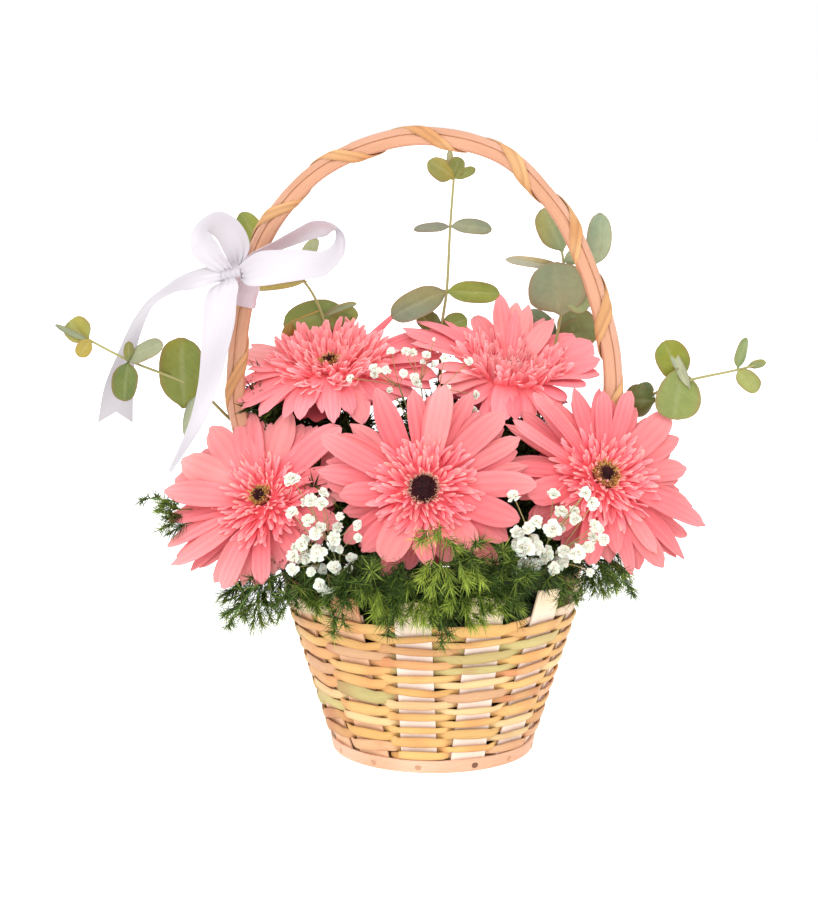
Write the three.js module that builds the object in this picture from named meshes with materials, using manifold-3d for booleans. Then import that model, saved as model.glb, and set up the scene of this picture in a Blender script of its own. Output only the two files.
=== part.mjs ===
// A small woven chip-wood basket with a tall arched handle, filled with five pink gerberas, gypsophila,
// eucalyptus and asparagus fern that stand in wet floral foam, with a satin bow on the handle's left side.
// Millimetres, +Z up, the front towards -Y, the origin at the centre of the basket's underside.
import * as THREE from "three";
import { mergeVertices } from "three/addons/utils/BufferGeometryUtils.js";
import Module from "manifold-3d";

const wasm = await Module();
wasm.setup();

// Basket wall: flat upright stakes and one long weaver that winds round them
const STAKES = 13;
const FIRST_STAKE_DEG = -98.2;
const STAKE_WIDTH = 20.5;
const STAKE_THICKNESS = 1.2;
const STAKE_TOP = 108;
const BASE_RADIUS = 54.7;
const WALL_SLOPE = 0.309;
const GAP = 0.3;
const ROWS = 20;
const ROW_PITCH = 4.05;
const FIRST_ROW_Z = 10.4;
const WEAVER_WIDTH = 3.7;
const WEAVER_THICKNESS = 1.4;
const wallRadius = (z) => BASE_RADIUS + WALL_SLOPE * z;

// Base: a wooden disc, and a hoop nailed round the stakes' feet
const DISC_RADIUS = 53.8;
const DISC_THICKNESS = 6;
const HOOP_HEIGHT = 7.6;
const HOOP_THICKNESS = 1.5;
const NAIL_RADIUS = 1.4;
const NAIL_PROUD = 0.6;

// Liner tub and foam
const LINER_FOOT_RADIUS = 43.5;
const LINER_TOP_RADIUS = 67.5;
const LINER_TOP = 84;
const LINER_WALL = 1;
const LINER_SIDES = 16;
const FOAM_EDGE_Z = 82;
const FOAM_DOME = 10;
const FOAM_FOOT = DISC_THICKNESS + GAP + LINER_WALL + GAP;

// Handle: two bent rods, side by side in the arch's plane, with a splint wound round them
const LEG_FOOT_Z = 40;
const LEFT_LEG = [[-93.5, 140], [-107, 176], [-113, 207], [-111.5, 237], [-107, 265], [-98, 294]];
const CROWN = [[-84, 316], [-66, 333], [-40, 346.5], [-10, 353], [20, 349.5], [44, 339], [61, 323], [76, 304]];
const RIGHT_LEG = [[88, 279], [96, 253], [101, 227], [102, 203], [98, 172], [90, 140]];
const ROD_HALF_WIDTH = 4.2;
const ROD_THICKNESS = 4;
const SPLINT_PITCH = 50.2;
const SPLINT_START = 0.1;
const SPLINT_END = 0.9;
const SPLINT_PHASE_DEG = 30;
const SPLINT_WIDTH = 6;
const SPLINT_THICKNESS = 1;
const SPLINT_RADIUS = 6;

// Ribbon
const RIBBON_WIDTH = 25;
const RIBBON_THICKNESS = 1;

// Gerbera heads: where the dark eye sits, the way the head faces, the reach of its long petals and of
// its ruff, how far round its first petal sits, and where its stem goes into the foam
const HEADS = {
  front: { eye: [-6, -66, 165], face: [0, -0.94, 0.33], reach: 57, ruff: 26, spin: 0.4, entry: [-3, -30] },
  left: { eye: [-98, -38, 156], face: [-0.35, -0.73, 0.56], reach: 58, ruff: 25, spin: 1.2, entry: [-40, -14] },
  right: { eye: [97, -38, 168], face: [0.31, -0.76, 0.53], reach: 59, ruff: 26, spin: 0.7, entry: [40, -12] },
  back_left: { eye: [-60, 18, 225], face: [-0.09, -0.32, 0.92], reach: 57, ruff: 37, spin: 0.2, entry: [-26, 16] },
  back_right: { eye: [46, 22, 221], face: [0.16, -0.25, 0.93], reach: 56, ruff: 32, spin: 0.9, entry: [22, 18] },
};
const EYE_RADIUS = 6.5;
const HEAD_DEPTH = 13;
const OUTER_PETALS = 13;
const BACK_PETALS = 8;
const RUFF_PETALS = 10;
const INNER_RUFF_PETALS = 6;
const STEM_RADIUS = 2.8;

// Helpers that turn points into closed geometry
const vec = (p) => new THREE.Vector3(...p);
const radians = THREE.MathUtils.degToRad;

function geometryFrom(points, index) {
  const positions = new Float32Array(points.flatMap((p) => [p.x, p.y, p.z]));
  const geometry = new THREE.BufferGeometry();
  geometry.setAttribute("position", new THREE.BufferAttribute(positions, 3));
  geometry.setIndex(index);
  return geometry;
}

// Six times the signed volume inside the faces
function signedVolume(points, index) {
  let sum = 0;
  const normal = new THREE.Vector3();
  for (let i = 0; i < index.length; i += 3) {
    sum += normal.crossVectors(points[index[i + 1]], points[index[i + 2]]).dot(points[index[i]]);
  }
  return sum;
}

// A skin through rings of points, each ring with the same count or a single point at an end
function loft(rings, loop = false) {
  const points = rings.flat();
  const starts = [];
  rings.reduce((total, ring) => {
    starts.push(total);
    return total + ring.length;
  }, 0);
  const index = [];
  const spans = loop ? rings.length : rings.length - 1;
  for (let i = 0; i < spans; i++) {
    const j = (i + 1) % rings.length;
    const sides = Math.max(rings[i].length, rings[j].length);
    const at = (ring, k) => starts[ring] + (rings[ring].length === 1 ? 0 : k % sides);
    for (let k = 0; k < sides; k++) {
      if (rings[i].length > 1) index.push(at(i, k), at(i, k + 1), at(j, k + 1));
      if (rings[j].length > 1) index.push(at(i, k), at(j, k + 1), at(j, k));
    }
  }
  if (!loop) {
    const last = rings.length - 1;
    for (let k = 1; k + 1 < rings[0].length; k++) index.push(starts[0], starts[0] + k + 1, starts[0] + k);
    const end = starts[last];
    for (let k = 1; k + 1 < rings[last].length; k++) index.push(end, end + k, end + k + 1);
  }
  return geometryFrom(points, signedVolume(points, index) < 0 ? index.reverse() : index);
}

const polygon = (radius, sides, turn = 0) =>
  Array.from({ length: sides }, (_, k) => {
    const angle = turn + (2 * Math.PI * k) / sides;
    return new THREE.Vector2(radius * Math.cos(angle), radius * Math.sin(angle));
  });

// A round rod of one radius along a smooth curve
function rod(points, radius, sides, steps) {
  const path = new THREE.CatmullRomCurve3(points.map(vec), false, "centripetal");
  const section = new THREE.Shape(polygon(radius, sides));
  return new THREE.ExtrudeGeometry(section, { steps, bevelEnabled: false, extrudePath: path });
}

// A straight rod from one point to another, with a radius at each end
function taper(from, to, radiusFrom, radiusTo, sides = 3) {
  const [start, end] = [from, to];
  const along = end.clone().sub(start).normalize();
  const turn = new THREE.Quaternion().setFromUnitVectors(new THREE.Vector3(0, 0, 1), along);
  const ring = (centre, radius) =>
    polygon(radius, sides).map((p) => new THREE.Vector3(p.x, p.y, 0).applyQuaternion(turn).add(centre));
  return loft([ring(start, radiusFrom), radiusTo > 0 ? ring(end, radiusTo) : [end.clone()]]);
}

function solidOf(geometry) {
  const bare = new THREE.BufferGeometry();
  bare.setAttribute("position", geometry.getAttribute("position"));
  bare.setIndex(geometry.index);
  const merged = mergeVertices(bare, 1e-4);
  const mesh = new wasm.Mesh({
    numProp: 3,
    vertProperties: new Float32Array(merged.attributes.position.array),
    triVerts: new Uint32Array(merged.index.array),
  });
  return new wasm.Manifold(mesh);
}

function geometryOf(solid) {
  const { numProp, numVert, vertProperties, triVerts } = solid.getMesh();
  const points = Array.from({ length: numVert }, (_, i) =>
    vec(vertProperties.subarray(i * numProp, i * numProp + 3)),
  );
  return geometryFrom(points, Array.from(triVerts));
}

const fuse = (solids) => solids.reduce((sum, solid) => sum.add(solid));
const meets = (solid, others) => others.some((other) => solid.intersect(other).volume() > 0);

// A repeatable draw from 0 to 1
function draws(seed) {
  let state = seed;
  return () => {
    state = (state * 1664525 + 1013904223) % 4294967296;
    return state / 4294967296;
  };
}

// The finished group, and the solids that later pieces are bent clear of
const arrangement = new THREE.Group();
const placed = [];

function add(name, solid, colour, roughness = 0.8, keepClear = true) {
  const material = new THREE.MeshStandardMaterial({ color: colour, roughness, metalness: 0 });
  const mesh = new THREE.Mesh(geometryOf(solid), material);
  mesh.name = name;
  arrangement.add(mesh);
  if (keepClear) placed.push(solid);
  return solid;
}

// Basket
const stakeAngle = (j) => radians(FIRST_STAKE_DEG + (j * 360) / STAKES);

// A point beside stake j: along it, across it, and outwards from its middle plane
function byStake(j, z, across, out) {
  const angle = stakeAngle(j);
  const radius = wallRadius(z) + out;
  const x = radius * Math.cos(angle) - across * Math.sin(angle);
  return new THREE.Vector3(x, radius * Math.sin(angle) + across * Math.cos(angle), z);
}

function stake(j) {
  const half = STAKE_THICKNESS / 2;
  const ring = (z) => [
    byStake(j, z, -STAKE_WIDTH / 2, -half),
    byStake(j, z, STAKE_WIDTH / 2, -half),
    byStake(j, z, STAKE_WIDTH / 2, half),
    byStake(j, z, -STAKE_WIDTH / 2, half),
  ];
  return solidOf(loft([ring(GAP), ring(STAKE_TOP)]));
}

// The weaver climbs one row pitch a turn; an odd number of stakes makes it change sides every turn
function weaver() {
  const swing = STAKE_THICKNESS / 2 + GAP + WEAVER_THICKNESS / 2;
  const half = WEAVER_THICKNESS / 2;
  const reach = STAKE_WIDTH / 2 + 0.8;
  const rings = [];
  for (let j = 0; j < ROWS * STAKES; j++) {
    const side = j % 2 ? -swing : swing;
    for (const across of [-reach, reach]) {
      const lift = across > 0 ? 0.35 : -0.35;
      const z = FIRST_ROW_Z + (ROW_PITCH * (j + lift)) / STAKES;
      rings.push([
        byStake(j, z + WEAVER_WIDTH / 2, across, side - half),
        byStake(j, z, across, side + half),
        byStake(j, z - WEAVER_WIDTH / 2, across, side - half),
      ]);
    }
  }
  return solidOf(loft(rings));
}

const lathe = (profile, segments) =>
  new THREE.LatheGeometry(profile.map(([r, z]) => new THREE.Vector2(r, z)), segments).rotateX(Math.PI / 2);

// The hoop lies flat on every stake's foot and bends in between
function hoop() {
  const inner = STAKE_THICKNESS / 2 + GAP;
  const outer = inner + HOOP_THICKNESS;
  const rings = [];
  for (let j = 0; j < STAKES; j++) {
    for (const across of [-STAKE_WIDTH / 2 - 0.6, STAKE_WIDTH / 2 + 0.6]) {
      rings.push([
        byStake(j, 0, across, inner),
        byStake(j, 0, across, outer),
        byStake(j, HOOP_HEIGHT, across, outer),
        byStake(j, HOOP_HEIGHT, across, inner),
      ]);
    }
  }
  const nails = Array.from({ length: STAKES }, (_, j) => {
    const middle = HOOP_HEIGHT / 2;
    const foot = byStake(j, middle, 0, outer - 0.8);
    return solidOf(taper(foot, byStake(j, middle, 0, outer + NAIL_PROUD), NAIL_RADIUS, NAIL_RADIUS, 4));
  });
  return fuse([solidOf(loft(rings, true)), ...nails]);
}

const foamTop = (x, y) => FOAM_EDGE_Z + FOAM_DOME * (1 - Math.hypot(x, y) / LINER_TOP_RADIUS);

function liner() {
  const floor = DISC_THICKNESS + GAP;
  const profile = [
    [0, floor],
    [LINER_FOOT_RADIUS, floor],
    [LINER_TOP_RADIUS, LINER_TOP],
    [LINER_TOP_RADIUS - LINER_WALL, LINER_TOP],
    [LINER_FOOT_RADIUS - LINER_WALL, floor + LINER_WALL],
    [0, floor + LINER_WALL],
  ];
  return solidOf(lathe(profile, LINER_SIDES));
}

function foamBlock() {
  const inner = LINER_WALL + GAP + 0.4;
  const edge = LINER_TOP_RADIUS - inner - 0.6;
  const profile = [
    [0, FOAM_FOOT],
    [LINER_FOOT_RADIUS - inner, FOAM_FOOT],
    [edge, FOAM_EDGE_Z],
    [0, FOAM_EDGE_Z + FOAM_DOME],
  ];
  return solidOf(lathe(profile, LINER_SIDES));
}

// Handle: the legs follow the inside of the wall, and the arch springs from them
function handleCurve() {
  const inset = (z) => wallRadius(z) - 7.4;
  const points = [
    [-inset(LEG_FOOT_Z), LEG_FOOT_Z],
    [-inset(90), 90],
    ...LEFT_LEG,
    ...CROWN,
    ...RIGHT_LEG,
    [inset(90), 90],
    [inset(LEG_FOOT_Z), LEG_FOOT_Z],
  ];
  return new THREE.CatmullRomCurve3(points.map(([x, z]) => vec([x, 0, z])), false, "centripetal");
}

const handlePath = handleCurve();
const FRONT = vec([0, -1, 0]);

// Place, outward direction and front direction at a share of the handle's length
function handleFrame(share) {
  const along = handlePath.getTangentAt(share);
  return { centre: handlePath.getPointAt(share), along, outward: vec([-along.z, 0, along.x]) };
}

function handleRod(sign) {
  const inner = GAP / 2;
  const outer = inner + ROD_THICKNESS;
  const corners = [
    [-ROD_HALF_WIDTH, inner],
    [ROD_HALF_WIDTH, inner],
    [ROD_HALF_WIDTH * 0.6, outer],
    [-ROD_HALF_WIDTH * 0.6, outer],
  ];
  const steps = 30;
  const rings = Array.from({ length: steps + 1 }, (_, i) => {
    const { centre, outward } = handleFrame(i / steps);
    return corners.map(([front, out]) =>
      centre.clone().addScaledVector(FRONT, front).addScaledVector(outward, sign * out),
    );
  });
  return solidOf(loft(rings));
}

function handleSplint() {
  const turns = ((SPLINT_END - SPLINT_START) * handlePath.getLength()) / SPLINT_PITCH;
  const steps = Math.round(turns * 6);
  const rings = Array.from({ length: steps + 1 }, (_, i) => {
    const share = SPLINT_START + ((SPLINT_END - SPLINT_START) * i) / steps;
    const { centre, along, outward } = handleFrame(share);
    const angle = radians(SPLINT_PHASE_DEG) + (2 * Math.PI * turns * i) / steps;
    const out = outward.clone().multiplyScalar(Math.cos(angle)).addScaledVector(FRONT, Math.sin(angle));
    const rim = (shift, radius) => centre.clone().addScaledVector(along, shift).addScaledVector(out, radius);
    return [
      rim(-SPLINT_WIDTH / 2, SPLINT_RADIUS),
      rim(0, SPLINT_RADIUS + SPLINT_THICKNESS),
      rim(SPLINT_WIDTH / 2, SPLINT_RADIUS),
    ];
  });
  return solidOf(loft(rings));
}

// Ribbon: each strip is a row of stations, a middle point, the way its width runs and its width
function strip(stations, steps) {
  const middles = new THREE.CatmullRomCurve3(stations.map((s) => vec(s[0])), false, "centripetal");
  const sides = new THREE.CatmullRomCurve3(stations.map((s) => vec(s[1])), false, "catmullrom");
  const widths = new THREE.CatmullRomCurve3(stations.map((s) => vec([s[2], 0, 0])), false, "catmullrom");
  const rings = Array.from({ length: steps + 1 }, (_, i) => {
    const share = i / steps;
    const along = middles.getTangent(share);
    const side = sides.getPoint(share);
    side.addScaledVector(along, -side.dot(along)).normalize();
    const normal = new THREE.Vector3().crossVectors(along, side);
    const half = widths.getPoint(share).x / 2;
    const rise = RIBBON_THICKNESS / 2;
    const at = (a, n) =>
      middles.getPoint(share).addScaledVector(side, a * half).addScaledVector(normal, n * rise);
    return [at(-1, -1), at(1, -1), at(1, 1), at(-1, 1)];
  });
  return solidOf(loft(rings));
}

const KNOT = [-112, -12.8, 276];
const LEFT_LOOP = [
  [[-115, -13, 277], [0.9, 0.1, 0.3], 9],
  [[-125, -21, 286], [0.75, 0.35, 0.5], 21],
  [[-131, -25, 298], [0.75, 0.45, 0.4], RIBBON_WIDTH],
  [[-128, -20, 309], [0.8, 0.5, 0.1], RIBBON_WIDTH],
  [[-122, -12, 309], [0.85, 0.4, -0.1], RIBBON_WIDTH],
  [[-117, -9, 297], [0.9, 0.3, 0.1], 21],
  [[-114, -12, 281], [0.9, 0.1, 0.3], 9],
];
const RIGHT_LOOP = [
  [[-112, -14, 276], [0, -0.2, 1], 9],
  [[-97, -21, 279], [-0.1, -0.3, 1], 20],
  [[-77, -25, 282], [-0.1, -0.3, 1], RIBBON_WIDTH],
  [[-60, -24, 288], [-0.3, -0.1, 1], RIBBON_WIDTH],
  [[-53, -18, 297], [-0.5, 0.5, 0.8], 24],
  [[-63, -13, 303], [-0.2, 0.95, 0.3], 20],
  [[-84, -14, 298], [-0.1, 0.7, 0.5], 14],
  [[-110, -13, 280], [0, 0.5, 0.7], 8],
];
const LEFT_TAIL = [
  [[-115, -14, 277], [0, 0.3, 1], 9],
  [[-131, -16, 278], [0.1, 0.5, 0.9], 16],
  [[-146, -12, 271], [0.5, 0.5, 0.7], 20],
  [[-160, -8, 256], [0.8, 0.5, 0.4], 22],
  [[-172, -6, 235], [0.9, 0.4, 0.2], 23],
  [[-179, -5, 213], [0.95, 0.25, 0.1], 23],
  [[-182, -5, 197], [1, 0.1, 0.1], 22],
];
const RIGHT_TAIL = [
  [[-114, -14, 274], [1, 0.1, 0.2], 10],
  [[-120, -22, 262], [1, 0.1, 0.1], 18],
  [[-123, -28, 241], [0.95, 0.2, 0], 22],
  [[-125, -31, 218], [0.9, 0.3, -0.1], 22],
  [[-133, -32, 195], [0.8, 0.5, -0.2], 19],
  [[-146, -32, 171], [0.7, 0.6, -0.2], 8],
];
const BAND_SHARE = 0.3135;
const BAND_INNER = 8;
const BAND_HEIGHT = 17;

// The band of ribbon round the handle, just under the knot
function ribbonBand() {
  const { centre, along } = handleFrame(BAND_SHARE);
  const [outer, half] = [BAND_INNER + RIBBON_THICKNESS, BAND_HEIGHT / 2];
  const corner = [BAND_INNER, -half];
  const profile = [corner, [outer, -half], [outer, half], [BAND_INNER, half], corner];
  const turn = new THREE.Quaternion().setFromUnitVectors(vec([0, 0, 1]), along);
  return solidOf(lathe(profile, 8).applyQuaternion(turn).translate(...centre));
}

function bow() {
  const knot = new THREE.IcosahedronGeometry(8, 0).scale(1, 0.8, 0.9).translate(...KNOT);
  const strips = [LEFT_LOOP, RIGHT_LOOP, LEFT_TAIL, RIGHT_TAIL].map((s) => strip(s, 10));
  return fuse([solidOf(knot), ribbonBand(), ...strips]);
}

// A plant's frame: the way it faces, and two directions across
function facing(normal) {
  const face = vec(normal).normalize();
  const right = new THREE.Vector3().crossVectors(vec([0, 0, 1]), face).normalize();
  return { face, right, up: new THREE.Vector3().crossVectors(face, right) };
}

// A thin blade, flat above with a ridge below, which leaves its root at one angle and ends at another
function blade({ root, out, face, length, widths, bend, thickness, margin = 0 }) {
  const side = new THREE.Vector3().crossVectors(face, out).normalize();
  const point = root.clone();
  let share = 0;
  const rings = widths.map(([at, width]) => {
    const angle = radians(bend[0] + (bend[1] - bend[0]) * ((at + share) / 2));
    const along = out.clone().multiplyScalar(Math.cos(angle)).addScaledVector(face, Math.sin(angle));
    const above = new THREE.Vector3().crossVectors(along, side);
    point.addScaledVector(along, (at - share) * length);
    share = at;
    if (width === 0) return [point.clone().addScaledVector(along, margin)];
    const half = width / 2 + margin;
    return [
      point.clone().addScaledVector(side, -half).addScaledVector(above, margin),
      point.clone().addScaledVector(above, -thickness - margin),
      point.clone().addScaledVector(side, half).addScaledVector(above, margin),
    ];
  });
  return solidOf(loft(rings));
}

// Takes the first of some bends that keeps a blade clear of what is already placed
function clearBlade(shape) {
  for (const size of [1, 0.85, 0.7, 0.5]) {
    for (const shift of [0, -7, 7, -14, 14, -22, 22, -32, 32, -45]) {
      const bend = [shape.bend[0] + shift * 0.7, shape.bend[1] + shift * 1.3];
      const tried = { ...shape, bend, length: shape.length * size };
      if (!meets(blade({ ...tried, margin: GAP }), placed)) return blade(tried);
    }
  }
  return null;
}

const PETAL_WIDTHS = [[0, 3], [0.45, 11], [0.84, 11.5], [1, 0]];
const BACK_WIDTHS = [[0, 4.5], [0.7, 12.5], [1, 0]];
const RUFF_WIDTHS = [[0, 5], [1, 0]];

// A head's pink part: two rings of long petals and a ruff of short ones, rooted in a smaller core
function petals(head, seed) {
  const { face, right, up } = facing(head.face);
  const middle = vec(head.eye);
  const draw = draws(seed);
  const profile = [[0, -HEAD_DEPTH], [5.5, -HEAD_DEPTH], [11, -6.5], [EYE_RADIUS + 1, -1.7], [0, -1.7]];
  const turn = new THREE.Quaternion().setFromUnitVectors(vec([0, 0, 1]), face);
  const parts = [solidOf(lathe(profile, 8).applyQuaternion(turn).translate(...middle))];
  const ring = (count, spin, from, shape) => {
    for (let k = 0; k < count; k++) {
      const angle = (2 * Math.PI * (k + spin + 0.3 * (draw() - 0.5))) / count;
      const out = right.clone().multiplyScalar(Math.cos(angle)).addScaledVector(up, Math.sin(angle));
      const root = middle.clone().addScaledVector(out, from[0]).addScaledVector(face, from[1]);
      const made = clearBlade({ root, out, face, ...shape() });
      if (made) parts.push(made);
    }
  };
  const open = head.face[2] > 0.8 ? 14 : 6;
  ring(OUTER_PETALS, head.spin, [8.5, -6.5], () => ({
    length: (head.reach - 9) * (0.94 + 0.1 * draw()),
    widths: PETAL_WIDTHS,
    bend: [open, -8 - 10 * draw()],
    thickness: 1.1,
  }));
  ring(BACK_PETALS, head.spin + 0.5, [5.5, -9], () => ({
    length: (head.reach - 9) * (0.92 + 0.1 * draw()),
    widths: BACK_WIDTHS,
    bend: [open - 14, -26 - 10 * draw()],
    thickness: 1.1,
  }));
  ring(RUFF_PETALS, 0.5, [7.6, -4.8], () => ({
    length: head.ruff - 8, widths: RUFF_WIDTHS, bend: [32, 32], thickness: 1.6,
  }));
  ring(INNER_RUFF_PETALS, 0.2, [7.4, -3.2], () => ({
    length: (head.ruff - 8) * 0.65, widths: RUFF_WIDTHS, bend: [56, 56], thickness: 1.6,
  }));
  return fuse(parts);
}

// The dark eye: a low dome of florets that sits in the ruff
function eye(head) {
  const turn = new THREE.Quaternion().setFromUnitVectors(vec([0, 0, 1]), facing(head.face).face);
  const dome = lathe([[0, -1.4], [EYE_RADIUS, -1.4], [EYE_RADIUS * 0.9, 0.6], [0, 0.3]], 7);
  const florets = Array.from({ length: 7 }, (_, k) => {
    const angle = (2 * Math.PI * (k + 0.5)) / 7;
    const foot = vec([Math.cos(angle), Math.sin(angle), 0]).multiplyScalar(EYE_RADIUS * 0.66);
    return taper(foot, foot.clone().multiplyScalar(1.25).setZ(3), 1.1, 0);
  });
  return fuse([dome, ...florets].map((g) => solidOf(g.applyQuaternion(turn).translate(...vec(head.eye)))));
}

// Every stem stands in a straight hole in the foam, and leaves it along the hole's line
const HOLES = [];
const STEM_DEPTH = 34;
const STRAIGHT_ABOVE = 5;

function rooted(entry, towards, radius, sides) {
  const surface = vec([entry[0], entry[1], foamTop(...entry)]);
  const up = vec(towards).sub(surface).normalize();
  up.setZ(Math.max(up.z, 1.3)).normalize();
  const at = (distance) => surface.clone().addScaledVector(up, distance);
  const wide = (radius + GAP) / Math.cos(Math.PI / sides);
  HOLES.push(solidOf(taper(at(-STEM_DEPTH - GAP), at(14), wide, wide, sides)));
  return [at(-STEM_DEPTH), at(0), at(STRAIGHT_ABOVE), at(2 * STRAIGHT_ABOVE)];
}

// A stem through some points, and a way to find its nearest point
function stemThrough(points, radius, sides, steps) {
  const path = new THREE.CatmullRomCurve3(points, false, "centripetal");
  const spine = path.getSpacedPoints(steps);
  const nearest = (point) => {
    const line = new THREE.Line3();
    const closest = new THREE.Vector3();
    let best = spine[0].clone();
    for (let i = 0; i < steps; i++) {
      line.set(spine[i], spine[i + 1]).closestPointToPoint(point, true, closest);
      if (closest.distanceTo(point) < best.distanceTo(point)) best = closest.clone();
    }
    return best;
  };
  const section = new THREE.Shape(polygon(radius, sides));
  const solid = solidOf(new THREE.ExtrudeGeometry(section, { steps, bevelEnabled: false, extrudePath: path }));
  return { solid, spine, nearest };
}

// The first of some rooted stems that is clear of what is already placed
function firstClear(makers) {
  for (const make of makers) {
    const holes = HOLES.length;
    const stem = make();
    if (!meets(stem.solid, placed)) return stem;
    HOLES.length = holes;
  }
  throw new Error("no clear route for a stem");
}
const SHIFTS = [[0, 0], [4, 0], [-4, 0], [0, 4], [0, -4], [7, 3], [-7, 3], [7, -3], [-7, -3]];

function gerberaStem(head) {
  const { face } = facing(head.face);
  const neck = vec(head.eye).addScaledVector(face, -HEAD_DEPTH - GAP);
  const shoulder = neck.clone().addScaledVector(face, -15).add(vec([0, 0, -8]));
  const start = rooted(head.entry, shoulder.toArray(), STEM_RADIUS, 5);
  const end = neck.clone().addScaledVector(face, -3);
  const stem = stemThrough([...start, shoulder, end], STEM_RADIUS, 5, 6);
  const turn = new THREE.Quaternion().setFromUnitVectors(vec([0, 0, 1]), face);
  const calyx = lathe([[0, -9], [3.4, -9], [6.2, -2], [6.2, 0], [0, 0]], 6);
  return fuse([stem.solid, solidOf(calyx.applyQuaternion(turn).translate(...neck))]);
}

// Eucalyptus: a thin stem, and round leaves, each from the stem to a tip with the way it faces
const LEAF_WIDTHS = [[0, 0.1], [0.25, 0.75], [0.58, 1], [0.88, 0.68], [1, 0]];
const PETIOLE_WIDTH = 1.3;

function leaf(start, tip, face, width) {
  const out = vec(tip).sub(start);
  const length = out.length();
  out.normalize();
  const normal = vec(face);
  normal.addScaledVector(out, -normal.dot(out)).normalize();
  const widths = LEAF_WIDTHS.map(([at, share], i) => [at, i === 0 ? PETIOLE_WIDTH : share * width]);
  return blade({ root: start, out, face: normal, length, widths, bend: [9, -9], thickness: 0.9 });
}

const EUCALYPTUS = {
  far_left: {
    entry: [-50, 6],
    stem: [[-82, 14, 152], [-119, 10, 193], [-141, 0, 211], [-170, -14, 228], [-200, -21, 244]],
    leaves: [
      [[-152, -14, 239], [-0.2, -0.95, 0.1], 30],
      [[-146, -8, 183], [0.9, 0.4, 0.1], 20],
      [[-152, -20, 237], [0.1, -0.4, 0.9], 15],
      [[-177, -20, 204], [0.5, -0.8, 0], 16],
      [[-171, -16, 243], [-0.6, -0.7, 0], 9],
      [[-211, -20, 255], [0.2, -0.9, 0.3], 17],
      [[-194, -28, 226], [0.5, -0.8, 0.2], 15],
    ],
  },
  back_left: {
    entry: [-30, 38],
    stem: [[-50, 48, 180], [-64, 46, 242], [-74, 46, 266], [-85, 44, 278], [-106, 38, 300]],
    leaves: [
      [[-89, 38, 247], [0.1, -0.85, 0.5], 22],
      [[-46, 54, 258], [0.3, -0.8, 0.5], 18],
      [[-106, 40, 261], [0, -0.3, 1], 16],
      [[-65, 46, 296], [0.3, -0.9, 0.2], 17],
      [[-115, 34, 309], [0.3, -0.9, 0.3], 18],
      [[-93, 40, 310], [-0.3, -0.9, 0.3], 13],
    ],
  },
  centre: {
    entry: [3, 40],
    stem: [[4, 44, 160], [5, 42, 238], [9, 40, 279], [11, 40, 331]],
    leaves: [
      [[-27, 36, 248], [0.2, -0.9, 0.4], 20],
      [[39, 38, 263], [-0.2, -0.75, 0.6], 18],
      [[-12, 36, 299], [0, -0.5, 0.85], 13],
      [[33, 34, 302], [0, -0.7, 0.7], 16],
      [[-4, 34, 338], [0.2, -0.9, 0.4], 17],
      [[24, 42, 334], [0, -0.8, 0.6], 9],
      [[23, 50, 244], [0.1, -0.9, 0.5], 20],
    ],
  },
  back_right: {
    entry: [34, 38],
    stem: [[58, 42, 170], [74, 36, 248], [76, 34, 273], [71, 32, 298]],
    leaves: [
      [[56, 24, 270], [0.1, -0.95, 0.2], 23],
      [[94, 26, 254], [0, -0.95, 0.3], 22],
      [[45, 34, 285], [0, -0.3, 0.95], 12],
      [[106, 38, 306], [0.4, -0.9, 0], 22],
      [[65, 28, 313], [0.1, -1, 0], 21],
      [[100, 34, 240], [0, -0.7, 0.7], 24],
      [[60, 46, 249], [0.2, -0.8, 0.5], 15],
    ],
  },
  far_right: {
    entry: [53, 10],
    stem: [[84, 20, 150], [121, 14, 202], [143, 10, 217], [171, 5, 224], [190, 2, 226]],
    leaves: [
      [[129, 8, 235], [0.3, -0.9, 0.2], 17],
      [[147, 2, 188], [0.2, -0.95, 0], 27],
      [[153, 18, 207], [0.8, -0.3, 0.4], 12],
      [[179, 2, 241], [0.5, -0.85, 0], 12],
      [[184, -1, 208], [0.5, -0.85, 0.1], 13],
      [[196, 2, 228], [0, -0.8, 0.6], 7],
      [[112, 24, 196], [0.3, -0.8, 0.5], 18],
    ],
  },
};
const LEAF_ROOTS = {
  far_left: [2, 2, 3, 3, 3, 4, 4],
  back_left: [1, 1, 2, 3, 4, 4],
  centre: [1.5, 1.5, 2.35, 2.35, 3, 3, 1],
  back_right: [1.6, 1.6, 2, 2, 2.6, 1, 1],
  far_right: [2, 2, 2, 3, 3, 4, 1],
};

function eucalyptus(name) {
  const { entry, stem, leaves } = EUCALYPTUS[name];
  const start = rooted(entry, stem[0], 1.5, 4);
  const { solid, nearest } = stemThrough([...start, ...stem.map(vec)], 1.4, 4, 10);
  const blades = leaves.map(([tip, face, width], i) => {
    const at = LEAF_ROOTS[name][i];
    const below = vec(stem[Math.floor(at)]);
    const root = nearest(below.lerp(vec(stem[Math.min(Math.ceil(at), stem.length - 1)]), at % 1));
    return leaf(root, tip, face, width);
  });
  return fuse([solid, ...blades]);
}

// Gypsophila: thin forking stems with a small round floret on each tip, inside a rough ball
const GYPSOPHILA = {
  left: { entry: [-34, -42], fork: [-50, -62, 116], centre: [-60, -77, 134], size: [25, 9, 25], florets: 11 },
  right: { entry: [38, -42], fork: [55, -62, 114], centre: [66, -77, 138], size: [28, 9, 23], florets: 12 },
  middle: { entry: [-2, -8], fork: [-3, -14, 180], centre: [-5, -22, 223], size: [38, 9, 12], florets: 9 },
};
const FLORET_RADIUS = 4.4;
const ARMS = 4;

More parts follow.
